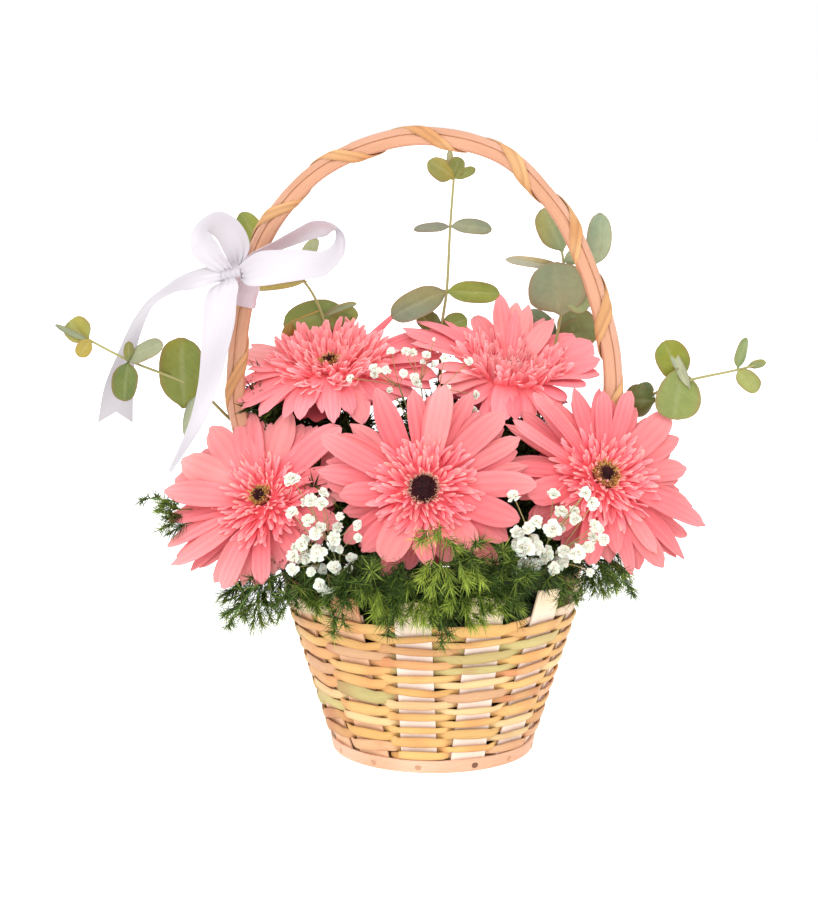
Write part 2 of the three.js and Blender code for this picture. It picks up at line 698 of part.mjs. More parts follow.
function gypsophila({ entry, fork, centre, size, florets }, seed) {
  const draw = draws(seed);
  const split = vec(fork);
  const heart = vec(centre);
  const clear = (shapes) => !shapes.some((shape) => meets(solidOf(shape), placed));
  const stalk = firstClear(SHIFTS.map(([x, y]) => () => {
    const start = rooted([entry[0] + x, entry[1] + y], fork, 1.3, 4);
    return stemThrough([...start, split], 1.3, 3, 6);
  }));
  const parts = [stalk.solid];
  const arms = [];
  for (let k = 0; k < ARMS; k++) {
    const angle = (2 * Math.PI * (k + 0.4)) / ARMS;
    const aim = heart.clone().add(vec([0.5 * size[0] * Math.cos(angle), 0, 0.5 * size[2] * Math.sin(angle)]));
    const end = split.clone().lerp(aim, 0.62);
    if (!clear([taper(split, end, 1 + GAP, 0.9 + GAP)])) continue;
    arms.push(end);
    parts.push(solidOf(taper(split, end, 1, 0.9)));
  }
  if (arms.length === 0) arms.push(split);
  const tips = [];
  for (let tries = 0; tips.length < florets && tries < 600; tries++) {
    const [a, b, c] = [draw() * 2 - 1, draw() * 2 - 1, draw() * 2 - 1];
    if (a * a + c * c > 1) continue;
    const tip = heart.clone().add(vec([a * size[0], b * size[1], c * size[2]]));
    if (tips.some((other) => other.distanceTo(tip) < FLORET_RADIUS * 2 + 0.5)) continue;
    const arm = arms.reduce((near, end) => (end.distanceTo(tip) < near.distanceTo(tip) ? end : near));
    const from = split.clone().lerp(arm, 0.35 + 0.6 * draw());
    const ball = (grow) => new THREE.OctahedronGeometry(FLORET_RADIUS + grow, 0).translate(...tip);
    const twig = (grow) => taper(from, tip, 0.45 + grow, 0.45 + grow);
    if (!clear([ball(GAP), twig(GAP)])) continue;
    tips.push(tip);
    parts.push(solidOf(ball(0)), solidOf(twig(0)));
  }
  return fuse(parts);
}

// Asparagus fern: an arching stem with three-sided needles on all sides, out to the tip
const NEEDLE_LENGTH = 14;
const NEEDLE_RADIUS = 0.5;
const NEEDLES = 11;
const FROND_RADIUS = 1.3;
const FERN_ENTRY = 54;
const HANGING = [[70, 106], [81, 116], [92, 113]];
const RISING = [[70, 108], [84, 126]];
const LEVEL = [[70, 107], [84, 118]];
const FERNS = [
  { name: "left_1", angle: -166, path: [[80, 119], [122, 139], [162, 146]] },
  { name: "left_2", angle: -151, path: [...HANGING, [112, 108], [127, 92]] },
  { name: "left_3", angle: -136, path: [...LEVEL, [112, 103]] },
  { name: "front_1", angle: -120, path: [...HANGING, [107, 96]] },
  { name: "front_2", angle: -104, path: [...HANGING, [101, 101]] },
  { name: "front_3", angle: -88, path: [...HANGING, [101, 93]] },
  { name: "front_4", angle: -78, path: [...RISING, [101, 143]] },
  { name: "front_5", angle: -64, path: [...RISING, [107, 125]] },
  { name: "right_1", angle: -49, path: [...LEVEL, [113, 110]] },
  { name: "right_2", angle: -28, path: [...LEVEL, [106, 118], [121, 108]] },
  { name: "back_1", angle: 68, path: [...LEVEL, [108, 118]] },
  { name: "back_2", angle: 116, path: [...LEVEL, [108, 114]] },
];

function fernStem(angle, path, lift) {
  const at = ([radius, z]) => vec([radius * Math.cos(radians(angle)), radius * Math.sin(radians(angle)), z + lift]);
  const entry = at([FERN_ENTRY, 0]);
  const start = rooted([entry.x, entry.y], at(path[0]).toArray(), FROND_RADIUS, 4);
  return stemThrough([...start, ...path.map(at)], FROND_RADIUS, 3, 10);
}

function fern({ angle, path }, seed) {
  const draw = draws(seed);
  const routes = [0, 2, -2, 4, -4, 6, -6, 9, -9, 12, -12].flatMap((turn) =>
    [0, -3, 3, 6, 9].map((lift) => () => fernStem(angle + turn, path, lift)),
  );
  const stem = firstClear(routes);
  const { solid, spine } = stem;
  const parts = [solid];
  const first = 4.6;
  for (let k = 0; k < NEEDLES; k++) {
    const place = first + ((spine.length - 1 - first) * (k + 0.7)) / NEEDLES;
    const [below, above] = [spine[Math.floor(place)], spine[Math.min(Math.floor(place) + 1, spine.length - 1)]];
    const start = below.clone().lerp(above, place % 1);
    const along = above.clone().sub(below).normalize();
    const { right, up } = facing(along.toArray());
    for (let tries = 0; tries < 5; tries++) {
      const turn = 2.4 * k + 1.3 * tries + draw() * 0.5;
      const aim = right.clone().multiplyScalar(Math.cos(turn)).addScaledVector(up, Math.sin(turn));
      aim.addScaledVector(along, 0.6).normalize();
      const end = start.clone().addScaledVector(aim, NEEDLE_LENGTH * (0.85 + 0.3 * draw()));
      if (meets(solidOf(taper(start, end, NEEDLE_RADIUS + GAP, 0.1 + GAP)), placed)) continue;
      parts.push(solidOf(taper(start, end, NEEDLE_RADIUS, 0)));
      break;
    }
  }
  return fuse(parts);
}

// Assembly, from what holds to what is held
const WOOD = "#e3b87c";
const disc = [[0, 0], [DISC_RADIUS, 0], [DISC_RADIUS, DISC_THICKNESS], [0, DISC_THICKNESS]];
add("base_disc", solidOf(lathe(disc, 26)), "#d9b48c");
for (let j = 0; j < STAKES; j++) add(`stake_${j + 1}`, stake(j), "#ecd6b8");
add("weaver", weaver(), WOOD);
add("base_hoop", hoop(), "#e5b494");
add("handle_rod_outer", handleRod(1), "#e2a878");
add("handle_rod_inner", handleRod(-1), "#dfa271");
add("handle_splint", handleSplint(), "#e0ab63");
add("ribbon_bow", bow(), "#f1e6f3", 0.35);
add("liner_tub", liner(), "#2f332d", 0.4);

const blooms = Object.entries(HEADS);
for (const [name, head] of blooms) add(`gerbera_${name}_stem`, gerberaStem(head), "#6f8f3c");
for (const [name, head] of blooms) add(`gerbera_${name}_eye`, eye(head), "#2c1016");
for (const name of Object.keys(EUCALYPTUS)) add(`eucalyptus_${name}`, eucalyptus(name), "#7f9459");
blooms.forEach(([name, head], i) => add(`gerbera_${name}_petals`, petals(head, 11 + i), "#f5858c"));
FERNS.forEach((plan, i) => add(`fern_${plan.name}`, fern(plan, 71 + i), "#4c7a2c"));
Object.entries(GYPSOPHILA).forEach(([name, plan], i) =>
  add(`gypsophila_${name}`, gypsophila(plan, 41 + i), "#f4f1e6"),
);
add("floral_foam", HOLES.reduce((block, hole) => block.subtract(hole), foamBlock()), "#3f5a35");

export default arrangement;
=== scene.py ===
"""The looks of a flower basket arrangement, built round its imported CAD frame.

Lengths are in millimetres up to the point where a mesh is made, and Blender's own objects are in metres.
"""

import math

import bpy
import numpy as np
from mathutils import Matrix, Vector


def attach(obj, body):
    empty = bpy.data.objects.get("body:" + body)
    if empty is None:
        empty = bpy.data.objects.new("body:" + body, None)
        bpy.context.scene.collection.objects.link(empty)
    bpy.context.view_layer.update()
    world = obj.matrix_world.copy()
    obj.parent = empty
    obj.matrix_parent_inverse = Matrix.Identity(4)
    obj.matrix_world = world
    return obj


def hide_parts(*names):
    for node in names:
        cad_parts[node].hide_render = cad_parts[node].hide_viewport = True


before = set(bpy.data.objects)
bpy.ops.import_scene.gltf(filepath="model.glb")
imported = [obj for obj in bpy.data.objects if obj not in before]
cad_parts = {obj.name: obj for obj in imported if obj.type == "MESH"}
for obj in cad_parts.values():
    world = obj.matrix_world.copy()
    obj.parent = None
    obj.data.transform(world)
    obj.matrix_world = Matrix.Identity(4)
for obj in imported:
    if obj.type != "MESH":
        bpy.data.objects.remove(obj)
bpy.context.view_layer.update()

MM = 0.001
TAU = 2 * math.pi
X, Y, Z = np.eye(3)
FRONT = -Y
DIM = 0.82  # the studio light is bright, so every tint is taken down by this much


# colours, shares and curves
def linear(code):
    """A colour code such as e8be78 as linear red, green and blue"""
    s = np.array([int(code[i : i + 2], 16) for i in (0, 2, 4)]) / 255
    return np.where(s <= 0.04045, s / 12.92, ((s + 0.055) / 1.055) ** 2.4)


def blend(a, b, share):
    """From a at share 0 to b at share 1; share may be an array, which gets one more axis"""
    share = np.asarray(share, float)[..., None]
    return a * (1 - share) + b * share


def ramp(x, start, end):
    """Rises evenly from 0 at start to 1 at end, and stays there"""
    return np.clip((x - start) / (end - start), 0, 1)


def bell(x):
    return np.exp(-(x**2))


def pairs(a, b):
    return np.stack(np.broadcast_arrays(a, b), -1)


def unit(v):
    v = np.asarray(v, float)
    return v / np.maximum(np.linalg.norm(v, axis=-1, keepdims=True), 1e-9)


def square_to(v, along):
    """The part of v that lies square to a direction, as a unit vector"""
    return unit(v - along * np.sum(v * along, -1, keepdims=True))


def round_about(right, up, angle):
    """Vectors at angles from right towards up"""
    angle = np.asarray(angle)[..., None]
    return right * np.cos(angle) + up * np.sin(angle)


def spline(points, per_span=12):
    """Many points along a smooth (centripetal Catmull-Rom) curve"""
    p = np.asarray(points, float)
    ext = np.vstack([2 * p[0] - p[1], p, 2 * p[-1] - p[-2]])
    x = np.linspace(0, 1, per_span, endpoint=False)[:, None]
    made = []
    for p0, p1, p2, p3 in zip(ext, ext[1:], ext[2:], ext[3:]):
        d0, d1, d2 = (max(np.linalg.norm(b - a), 1e-6) ** 0.5 for a, b in ((p0, p1), (p1, p2), (p2, p3)))
        t1 = ((p1 - p0) / d0 - (p2 - p0) / (d0 + d1) + (p2 - p1) / d1) * d1
        t2 = ((p2 - p1) / d1 - (p3 - p1) / (d1 + d2) + (p3 - p2) / d2) * d1
        made.append(p1 + t1 * x + (3 * (p2 - p1) - 2 * t1 - t2) * x**2 + (2 * (p1 - p2) + t1 + t2) * x**3)
    return np.vstack([*made, p[-1:]])


def run_along(paths):
    """How far each point of a path lies along it, for one path or for k"""
    steps = np.linalg.norm(np.diff(paths, axis=-2), axis=-1)
    return np.concatenate([np.zeros_like(steps[..., :1]), np.cumsum(steps, -1)], -1)


def at_shares(path, shares):
    """Points of a path at shares of its length"""
    run = run_along(path)
    return np.stack([np.interp(np.asarray(shares) * run[-1], run, axis) for axis in path.T], -1)


def spaced(points, count):
    """Evenly spaced points along the smooth curve through some points"""
    return at_shares(spline(points), np.linspace(0, 1, count))


def through(values, count):
    """A smooth row of numbers or vectors through some values, even in step"""
    v = np.asarray(values, float)
    flat = v.reshape(len(v), -1)
    x = np.linspace(0, len(v) - 1, count)
    i = np.clip(x.astype(int), 0, len(v) - 2)
    f = (x - i)[:, None]
    a, b, c, d = (flat[np.clip(i + k, 0, len(v) - 1)] for k in (-1, 0, 1, 2))
    out = b + 0.5 * f * (c - a + f * (2 * a - 5 * b + 4 * c - d + f * (3 * (b - c) + d - a)))
    return out.reshape(count, *v.shape[1:])


def wavy(rng, knots, count):
    """A row of numbers that wanders smoothly about zero"""
    return through(rng.normal(0, 1, knots), count)


# meshes
class Skin:
    """Collects closed shapes into one mesh, with a colour and a flat place at each point"""

    def __init__(self):
        self.points, self.tints, self.uvs, self.quads, self.tris, self.count = [], [], [], [], [], 0

    def add(self, points, quads, tris, tints, uvs):
        """k shapes of n points each, all with the same faces, which are turned to look outwards"""
        k, n = points.shape[:2]
        quads, tris = np.asarray(quads, int).reshape(-1, 4), np.asarray(tris, int).reshape(-1, 3)
        all_tris = np.vstack([quads[:, :3], quads[:, [0, 2, 3]], tris])
        a, b, c = (points[:, all_tris[:, i]] - points.mean(1)[:, None] for i in range(3))
        volume = np.einsum("kfi,kfi->k", a, np.cross(b, c))
        starts = self.count + np.arange(k) * n
        for faces, kept in ((quads, self.quads), (tris, self.tris)):
            for turned, which in ((faces, volume >= 0), (faces[:, ::-1], volume < 0)):
                kept.append((turned[None] + starts[which][:, None, None]).reshape(-1, faces.shape[1]))
        self.points.append(points.reshape(-1, 3))
        self.tints.append(np.broadcast_to(tints, points.shape).reshape(-1, 3))
        self.uvs.append(np.broadcast_to(uvs, (k, n, 2)).reshape(-1, 2))
        self.count += k * n

    def triangles(self):
        return 2 * sum(map(len, self.quads)) + sum(map(len, self.tris))

    def mesh(self, name):
        points, tints, uvs = (np.concatenate(x) for x in (self.points, self.tints, self.uvs))
        quads, tris = np.concatenate(self.quads), np.concatenate(self.tris)
        loops = np.concatenate([quads.ravel(), tris.ravel()]).astype(np.int32)
        starts = np.concatenate([np.arange(len(quads)) * 4, len(quads) * 4 + np.arange(len(tris)) * 3])
        mesh = bpy.data.meshes.new(name)
        mesh.vertices.add(len(points))
        mesh.vertices.foreach_set("co", (points * MM).astype(np.float32).ravel())
        mesh.loops.add(len(loops))
        mesh.loops.foreach_set("vertex_index", loops)
        mesh.polygons.add(len(starts))
        mesh.polygons.foreach_set("loop_start", starts.astype(np.int32))
        mesh.update(calc_edges=True)
        layer = mesh.uv_layers.new(name="UVMap")
        layer.data.foreach_set("uv", uvs[loops].astype(np.float32).ravel())
        tint = mesh.color_attributes.new(name="tint", type="FLOAT_COLOR", domain="POINT")
        rgba = np.concatenate([tints * DIM, np.ones((len(tints), 1))], 1)
        tint.data.foreach_set("color", np.clip(rgba, 0, 4).astype(np.float32).ravel())
        return mesh


def lofts(skin, rings, tints, uvs, loop=False, tip=0.0):
    """Closed skins through rings (k shapes, n rings, m points); ends close on a middle point, tip beyond"""
    k, n, m, _ = rings.shape
    tints = np.broadcast_to(tints, rings.shape)
    uvs = np.broadcast_to(uvs, (k, n, m, 2))
    i, j = np.meshgrid(np.arange(n if loop else n - 1), np.arange(m), indexing="ij")
    near, far = i * m, ((i + 1) % n) * m
    quads = np.stack([near + j, near + (j + 1) % m, far + (j + 1) % m, far + j], -1).reshape(-1, 4)
    points, tris = rings.reshape(k, n * m, 3), []
    tints, uvs = tints.reshape(k, n * m, 3), uvs.reshape(k, n * m, 2)
    if not loop:
        middles = rings[:, [0, -1]].mean(2)
        ends = middles + tip * unit(middles - rings[:, [1, -2]].mean(2))
        points = np.concatenate([points, ends], 1)
        tints, uvs = (np.concatenate([x, x[:, [0, -1]]], 1) for x in (tints, uvs))
        side = np.arange(m)
        turn = (side + 1) % m
        first = np.stack([np.full(m, n * m), turn, side], -1)
        last = np.stack([np.full(m, n * m + 1), (n - 1) * m + side, (n - 1) * m + turn], -1)
        tris = np.vstack([first, last])
    skin.add(points, quads, tris, tints, uvs)


def sheets(skin, middle, thick, tints, uvs):
    """Closed thin shapes round grids of points (k shapes, n along, m across)"""
    k, n, m, _ = middle.shape
    normal = unit(np.cross(np.gradient(middle, axis=1), np.gradient(middle, axis=2)))
    half = normal * (np.broadcast_to(thick, (k, n, m))[..., None] / 2)
    points = np.concatenate([(middle + half).reshape(k, -1, 3), (middle - half).reshape(k, -1, 3)], 1)
    tints, uvs = np.broadcast_to(tints, middle.shape), np.broadcast_to(uvs, (k, n, m, 2))
    both = lambda x: np.concatenate([x.reshape(k, n * m, -1)] * 2, 1)
    i, j = np.meshgrid(np.arange(n - 1), np.arange(m - 1), indexing="ij")
    top = np.stack([i * m + j, (i + 1) * m + j, (i + 1) * m + j + 1, i * m + j + 1], -1).reshape(-1, 4)
    along, across = np.arange(n - 1), np.arange(m - 1)
    rim = np.concatenate([across, along * m + m - 1, n * m - 1 - across, (n - 1 - along) * m])
    after, below = np.roll(rim, -1), n * m
    border = np.stack([rim, after, after + below, rim + below], -1)
    skin.add(points, np.vstack([top, top[:, ::-1] + below, border]), [], both(tints), both(uvs))


def frames_along(paths):
    """Directions along k paths (k, n, 3), and two more across them that turn as little as they can"""
    along = unit(np.gradient(paths, axis=1))
    across = [unit(np.cross(along[:, 0], np.where(np.abs(along[:, :1, 2]) > 0.9, X, Z)))]
    for i in range(1, paths.shape[1]):
        across.append(square_to(across[-1], along[:, i]))
    across = np.stack(across, 1)
    return along, across, np.cross(along, across)


def tubes(skin, paths, radii, sides, tints, tip=0.4):
    """Round stems along k paths, with a radius at each point"""
    paths = np.asarray(paths, float)
    paths = paths[None] if paths.ndim == 2 else paths
    radii = np.broadcast_to(radii, paths.shape[:2])
    _, a, b = frames_along(paths)
    angle = np.arange(sides) * TAU / sides
    rings = paths[:, :, None] + round_about(a[:, :, None], b[:, :, None], angle) * radii[:, :, None, None]
    if np.ndim(tints) == 3:
        tints = tints[:, :, None]
    lofts(skin, rings, tints, pairs(angle, run_along(paths)[:, :, None]), tip=tip)


def line_to(start, end, count, rise=0.0):
    """Even steps from start to end, bowed upwards in the middle"""
    s = np.linspace(0, 1, count)[:, None]
    return start * (1 - s) + end * s + Z * rise * np.sin(math.pi * s)


# materials
def feed(m, node, **inputs):
    """Sets the inputs of a node, each to a value or to the socket that feeds it"""
    for key, value in inputs.items():
        socket = node.inputs[key.replace("_", " ")]
        if isinstance(value, bpy.types.NodeSocket):
            m.node_tree.links.new(value, socket)
        else:
            socket.default_value = value


def add_node(m, kind, **inputs):
    node = m.node_tree.nodes.new("ShaderNode" + kind)
    feed(m, node, **inputs)
    return node


def new_material(name):
    m = bpy.data.materials.new(name)
    m.use_nodes = True
    return m, m.node_tree.nodes["Principled BSDF"]


def grain(m, place, streak, detail, rough):
    """Noise with a scale across and along the grain, per millimetre"""
    turned = add_node(m, "Mapping", Vector=place, Scale=(*streak, 1)).outputs["Vector"]
    return add_node(m, "TexNoise", Vector=turned, Scale=1, Detail=detail, Roughness=rough).outputs["Fac"]


def material(name, streak, contrast, bump, rough, rough_spread=0.08, fine=None, glow=0.0, **shader):
    """A finish whose colour is the mesh's own tint, streaked and roughened by noise.

    streak is the noise's scale across and along the grain; fine adds a second, smaller grain with its share.
    glow is the share of its own colour that the surface gives off, a painted glow that lifts its shade; on a
    thin petal it stands in for light that comes through it.
    """
    m, bsdf = new_material(name)
    place = add_node(m, "TexCoord").outputs["UV"]
    level = grain(m, place, streak, 4, 0.6)
    if fine:
        *fine_streak, share = fine
        small = grain(m, place, fine_streak, 2, 0.5)
        level = add_node(m, "Mix", Factor=share, A=level, B=small).outputs["Result"]
    spread = add_node(m, "MapRange", Value=level, From_Min=0.3, From_Max=0.7)
    feed(m, spread, To_Min=1 - contrast, To_Max=1 + contrast)
    tint = add_node(m, "Attribute")
    tint.attribute_name = "tint"
    scaled = add_node(m, "VectorMath")
    scaled.operation = "SCALE"
    feed(m, scaled, Vector=tint.outputs["Color"], Scale=spread.outputs["Result"])
    colour = scaled.outputs["Vector"]
    gloss = add_node(m, "MapRange", Value=level, To_Min=rough + rough_spread, To_Max=rough - rough_spread)
    relief = add_node(m, "Bump", Strength=1, Distance=bump * MM, Height=level)
    feed(m, bsdf, Base_Color=colour, Normal=relief.outputs["Normal"], **shader)
    feed(m, bsdf, Roughness=gloss.outputs["Result"])
    # a painted glow: the surface gives off its own colour
    if glow:
        feed(m, bsdf, Emission_Color=colour, Emission_Strength=glow)
    return m


def solid_finish(node, tone, scale, bump, rough, contrast=0.2):
    """A better finish for a CAD node that stays: noise in the object's own space"""
    m, bsdf = new_material(f"{node}_finish")
    place = add_node(m, "TexCoord").outputs["Object"]
    level = add_node(m, "TexNoise", Vector=place, Scale=scale, Detail=5).outputs["Fac"]
    tones = add_node(m, "ValToRGB", Fac=level)
    for stop, spot, factor in zip(tones.color_ramp.elements, (0.3, 0.7), (1 - contrast, 1 + contrast)):
        stop.position = spot
        stop.color = (*np.clip(linear(tone) * factor, 0, 1), 1)
    relief = add_node(m, "Bump", Distance=bump * MM, Height=level)
    feed(m, bsdf, Base_Color=tones.outputs["Color"], Normal=relief.outputs["Normal"], Roughness=rough)
    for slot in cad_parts[node].material_slots:
        slot.link = "OBJECT"
        slot.material = m


def piece(skin, name, finish, slot, *nodes, sharp=42):
    mesh = skin.mesh(name)
    mesh.shade_smooth()
    mesh.set_sharp_from_angle(angle=math.radians(sharp))
    obj = bpy.data.objects.new(name, mesh)
    bpy.context.collection.objects.link(obj)
    mesh.materials.append(finish)
    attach(obj, "root")
    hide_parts(*nodes)
    print("piece", name, skin.triangles())
    return obj


# camera, light and floor, in metres
CAMERA = (-0.014, -1.3, 0.4)
AIM = (-0.014, 0, 0.1746)
SENSOR = 36
FOCAL_LENGTH_IN_HEIGHTS = 2295 / 900
FLOOR_REACH = 9
WORLD_LIGHT = 1.0
LAMPS = [
    # name, place, how wide the light is in degrees, strength
    ("key", (-0.7, -1.5, 1.5), 50, 1.3),
    ("fill", (1.4, -1.2, 0.9), 70, 0.5),
    ("top", (0.1, -0.5, 2.0), 80, 0.6),
]
LAMP_AIM = (0, 0, 0.17)


def look(obj, target):
    obj.rotation_euler = (Vector(target) - obj.location).to_track_quat("-Z", "Y").to_euler()


def set_up_camera(scene):
    camera = bpy.data.objects.new("camera", bpy.data.cameras.new("camera"))
    camera.location = CAMERA
    look(camera, AIM)
    camera.data.sensor_fit = "VERTICAL"
    camera.data.sensor_height = SENSOR
    camera.data.lens = FOCAL_LENGTH_IN_HEIGHTS * SENSOR
    camera.data.clip_end = 60
    scene.collection.objects.link(camera)
    scene.camera = camera


def set_up_light(scene):
    scene.view_settings.view_transform = "Standard"
    scene.world = bpy.data.worlds.new("studio")
    scene.world.use_nodes = True
    sky = scene.world.node_tree.nodes["Background"]
    sky.inputs["Color"].default_value = (1, 1, 1, 1)
    sky.inputs["Strength"].default_value = WORLD_LIGHT
    for name, place, spread, power in LAMPS:
        lamp = bpy.data.objects.new(name, bpy.data.lights.new(name, "SUN"))
        lamp.data.angle = math.radians(spread)
        lamp.data.energy = power
        lamp.location = place
        look(lamp, LAMP_AIM)
        scene.collection.objects.link(lamp)


def set_up_floor(scene):
    floor = bpy.data.meshes.new("floor")
    corners = [(x * FLOOR_REACH, y * FLOOR_REACH, 0) for x, y in ((-1, -1), (1, -1), (1, 1), (-1, 1))]
    floor.from_pydata(corners, [], [(0, 1, 2, 3)])
    paper, bsdf = new_material("floor_paper")
    feed(paper, bsdf, Base_Color=(0.93, 0.93, 0.93, 1), Roughness=0.9)
    feed(paper, bsdf, Emission_Color=(1, 1, 1, 1), Emission_Strength=0.45)
    floor.materials.append(paper)
    ground = bpy.data.objects.new("floor", floor)
    scene.collection.objects.link(ground)


set_up_camera(bpy.context.scene)
set_up_light(bpy.context.scene)
set_up_floor(bpy.context.scene)

# basket
STAKES = 13
STAKE_WIDTH = 20.5
STAKE_FOOT, STAKE_TOP = 0.4, 107.6
STAKE_THICKNESS = 1.0
FIRST_STAKE = -98.2  # degrees round the basket
ROWS = 20
ROW_PITCH = 4.05
FIRST_ROW_Z = 10.4
WALL_FOOT = 54.7
WALL_SLOPE = 0.309
STRIP_THICKNESS = 0.84
REACH = 11.0  # how far from a stake's middle the weaver starts to cross the gap
OVER, UNDER = 1.75, -1.55  # how far out the weaver's middle lies before and behind a stake
WOOD_SHADE = (0.93, 0.865, 0.79)
STAKE_TONES = ("f6dfd0", "f3d8c2", "f5ddcc", "f0cfb2")
# tones of the weaver, with the share that each has
WOODS = [
    ("efc681", 0.30), ("e2b07a", 0.16), ("cfc486", 0.12),
    ("e9bd94", 0.13), ("f5dba6", 0.16), ("ebbf77", 0.13),
]
wood = material("split_wood", (0.05, 1.6), 0.2, 0.16, 0.55, fine=(0.12, 5.0, 0.5), Specular_IOR_Level=0.3)
# the stakes get a painted glow of their own colour, which lifts their shade
pale_wood = material(
    "pale_wood", (0.05, 1.2), 0.05, 0.08, 0.55, fine=(0.12, 4.0, 0.35), glow=0.06, Specular_IOR_Level=0.3
)


def wall_radius(z):
    return WALL_FOOT + WALL_SLOPE * z


def by_stake(j, z, across, out):
    """Points beside stake j: at a height, across it, and outwards from its middle plane"""
    j, z, across, out = np.broadcast_arrays(j, z, across, out)
    angle = np.radians(FIRST_STAKE + j * 360 / STAKES)
    r, cos, sin = wall_radius(z) + out, np.cos(angle), np.sin(angle)
    return np.stack([r * cos - across * sin, r * sin + across * cos, z], -1)


def build_stakes():
    rng = np.random.default_rng(5)
    skin = Skin()
    across = np.linspace(-1, 1, 7)[None] * (STAKE_WIDTH / 2 - 0.2)
    share = np.linspace(0, 1, 16)[:, None]
    for j in range(STAKES):
        shaded_stake = j in (11, 12)
        top = STAKE_TOP - rng.uniform(0, 3) + rng.uniform(-1.2, 1.2) * across / 10
        z = STAKE_FOOT + (top - STAKE_FOOT) * share
        bow = 0.25 * np.cos(across / 10 * 1.4 + rng.uniform(-0.3, 0.3)) - 0.12
        # painted shade: stakes 11 and 12 at the front left are darker and browner, and every stake darkens
        # towards its top, under the fern
        base = "e6b690" if shaded_stake else STAKE_TONES[j * 3 % 4 if j > 1 else 0]
        tone = blend(linear(base), linear("c98459" if shaded_stake else "ead0ae"), ramp(z, 88, 100))
        flat = pairs(z + 40 * j, across)
        # painted light: every stake's tint is lifted by 1.12 against the shade of the windows in the weave
        sheets(skin, by_stake(j, z, across, bow)[None], STAKE_THICKNESS, 1.12 * tone[None], flat[None])
    piece(skin, "stakes_look", pale_wood, "stake_wood", *[f"stake_{j + 1}" for j in range(STAKES)])


def build_weaver():
    """One strip, row over row: broad before a stake, tapering in the gaps, and behind every other stake"""
    rng = np.random.default_rng(11)
    count = ROWS * STAKES
    codes, weights = zip(*WOODS)
    picks = rng.choice(len(WOODS), size=count, p=np.array(weights) / sum(weights))
    tones = np.stack([linear(codes[p]) for p in picks]) * rng.uniform(0.88, 1.08, (count, 1)) * WOOD_SHADE
    tones[-10:] = linear("efd2b4")
    tall = rng.choice([2.0, 2.35, 2.7, 3.2, 3.8], size=count, p=[0.2, 0.27, 0.27, 0.16, 0.1])
    drift, tilt = rng.normal(0, 0.4, count), rng.normal(0, 0.5, count)
    skew = rng.uniform(-0.5, 0.5, count)
    v = np.array([-1, -0.7, 0, 0.7, 1, 1, 0.7, 0, -0.7, -1])
    face = np.repeat([1, -1], 5) * STRIP_THICKNESS / 2
    # across each strip: a painted highlight along its middle and painted shade towards its edges, deepest at
    # the lower edge, mixed with its real brown edges; the darker, the browner
    edges = (1.02 - 0.1 * v**2 - 0.14 * v**8 - 0.08 * (v < -0.9))[:, None] ** (0.8, 1.15, 1.3)
    rings, tints, flats = [], [], []

    def add_ring(j, f, a, z, heights, out, tint, shift):
        """A ring at a beside stake j, or at share f of the way over to -a beside the next stake"""
        near, far = by_stake(j, z + heights, a, out), by_stake((j + 1) % STAKES, z + heights, -a, out)
        rings.append(near * (1 - f) + far * f)
        tints.append(tint)
        flats.append(pairs(len(rings) * 4.2, heights + shift))

    def add_station(j, f, a, z, off, tallness, crown, tone):
        heights = v * tallness + skew[tone] * crown * v**2
        add_ring(j, f, a, z, heights, off + crown * (1 - v**2) + face, tones[tone] * edges, 3 * j)

    # the strip's first end comes out from behind a stake
    for f in (0.1, 0.35, 0.65, 0.9):
        out = 3.3 * f - 1.5 + 0.3 * (1 - v**2) + face
        dark = np.tile(tones[0] * (0.75, 0.6, 0.5), (10, 1))
        add_ring(STAKES - 1, f, REACH, FIRST_ROW_Z - 0.3 - 0.8 * (1 - f), v * (1.3 + f), out, dark, 0)
    for q in range(count):
        j, over = q % STAKES, q % 2 == 0
        last_row = ramp(q / count, 0.93, 0.96)
        rough = 1.8 if j in (10, 11, 12) else 1
        more = (0.8 if rough > 1 else 0) + 1.5 * last_row
        feet = last_row * sum(bell((j - spot) / 0.9) for spot in (3.5, 10.2, -2.8))
        row_z = lambda turn: FIRST_ROW_Z + ROW_PITCH * (q + turn) / STAKES + 1.6 * last_row + 3.5 * feet
        for a in (-11.0, -8.4, -4.4, 0.0, 4.4, 8.4, 11.0):
            part, z = a / REACH, row_z(0.35 * a / REACH)
            if over:
                z += rough * (drift[q] + tilt[q] * part)
                high = (tall[q] + more) * (1 - 0.16 * abs(part) ** 3)
                add_station(j, 0, a, z, OVER + 0.85 * (1 - part**2), high, 0.5, q)
            else:
                add_station(j, 0, a, z, UNDER - 0.2 * (1 - part**2), 2.2, 0.1, min(q + 1, count - 1))
        if q == count - 1:
            break
        # over to the next stake; wide is the share of the way to where the strip lies before a stake
        lead = q if over else q + 1
        for f in (0.25, 0.5, 0.78):
            wide = 1 - f if over else f
            z = row_z(0.35 + 0.3 * f) + rough * (drift[lead] + (tilt[lead] if over else -tilt[lead])) * wide
            high = 1.95 + (0.9 * (tall[lead] + more) - 1.95) * wide**0.5
            off = OVER * wide + UNDER * (1 - wide) + 0.5 * math.sin(math.pi * f)
            add_station(j, f, REACH, z, off, high, 0.3, lead)
    n = len(rings)
    worn = np.clip(through(rng.normal(0.1, 0.4, n // 3), n), 0, 0.8)
    stain = blend(np.ones(3), linear("e8b48c") / linear("f3d6a8"), worn)
    skin = Skin()
    lofts(skin, np.stack(rings)[None], (np.stack(tints) * stain[:, None])[None], np.stack(flats)[None])
    piece(skin, "weaver_look", wood, "weaver_wood", "weaver", sharp=60)


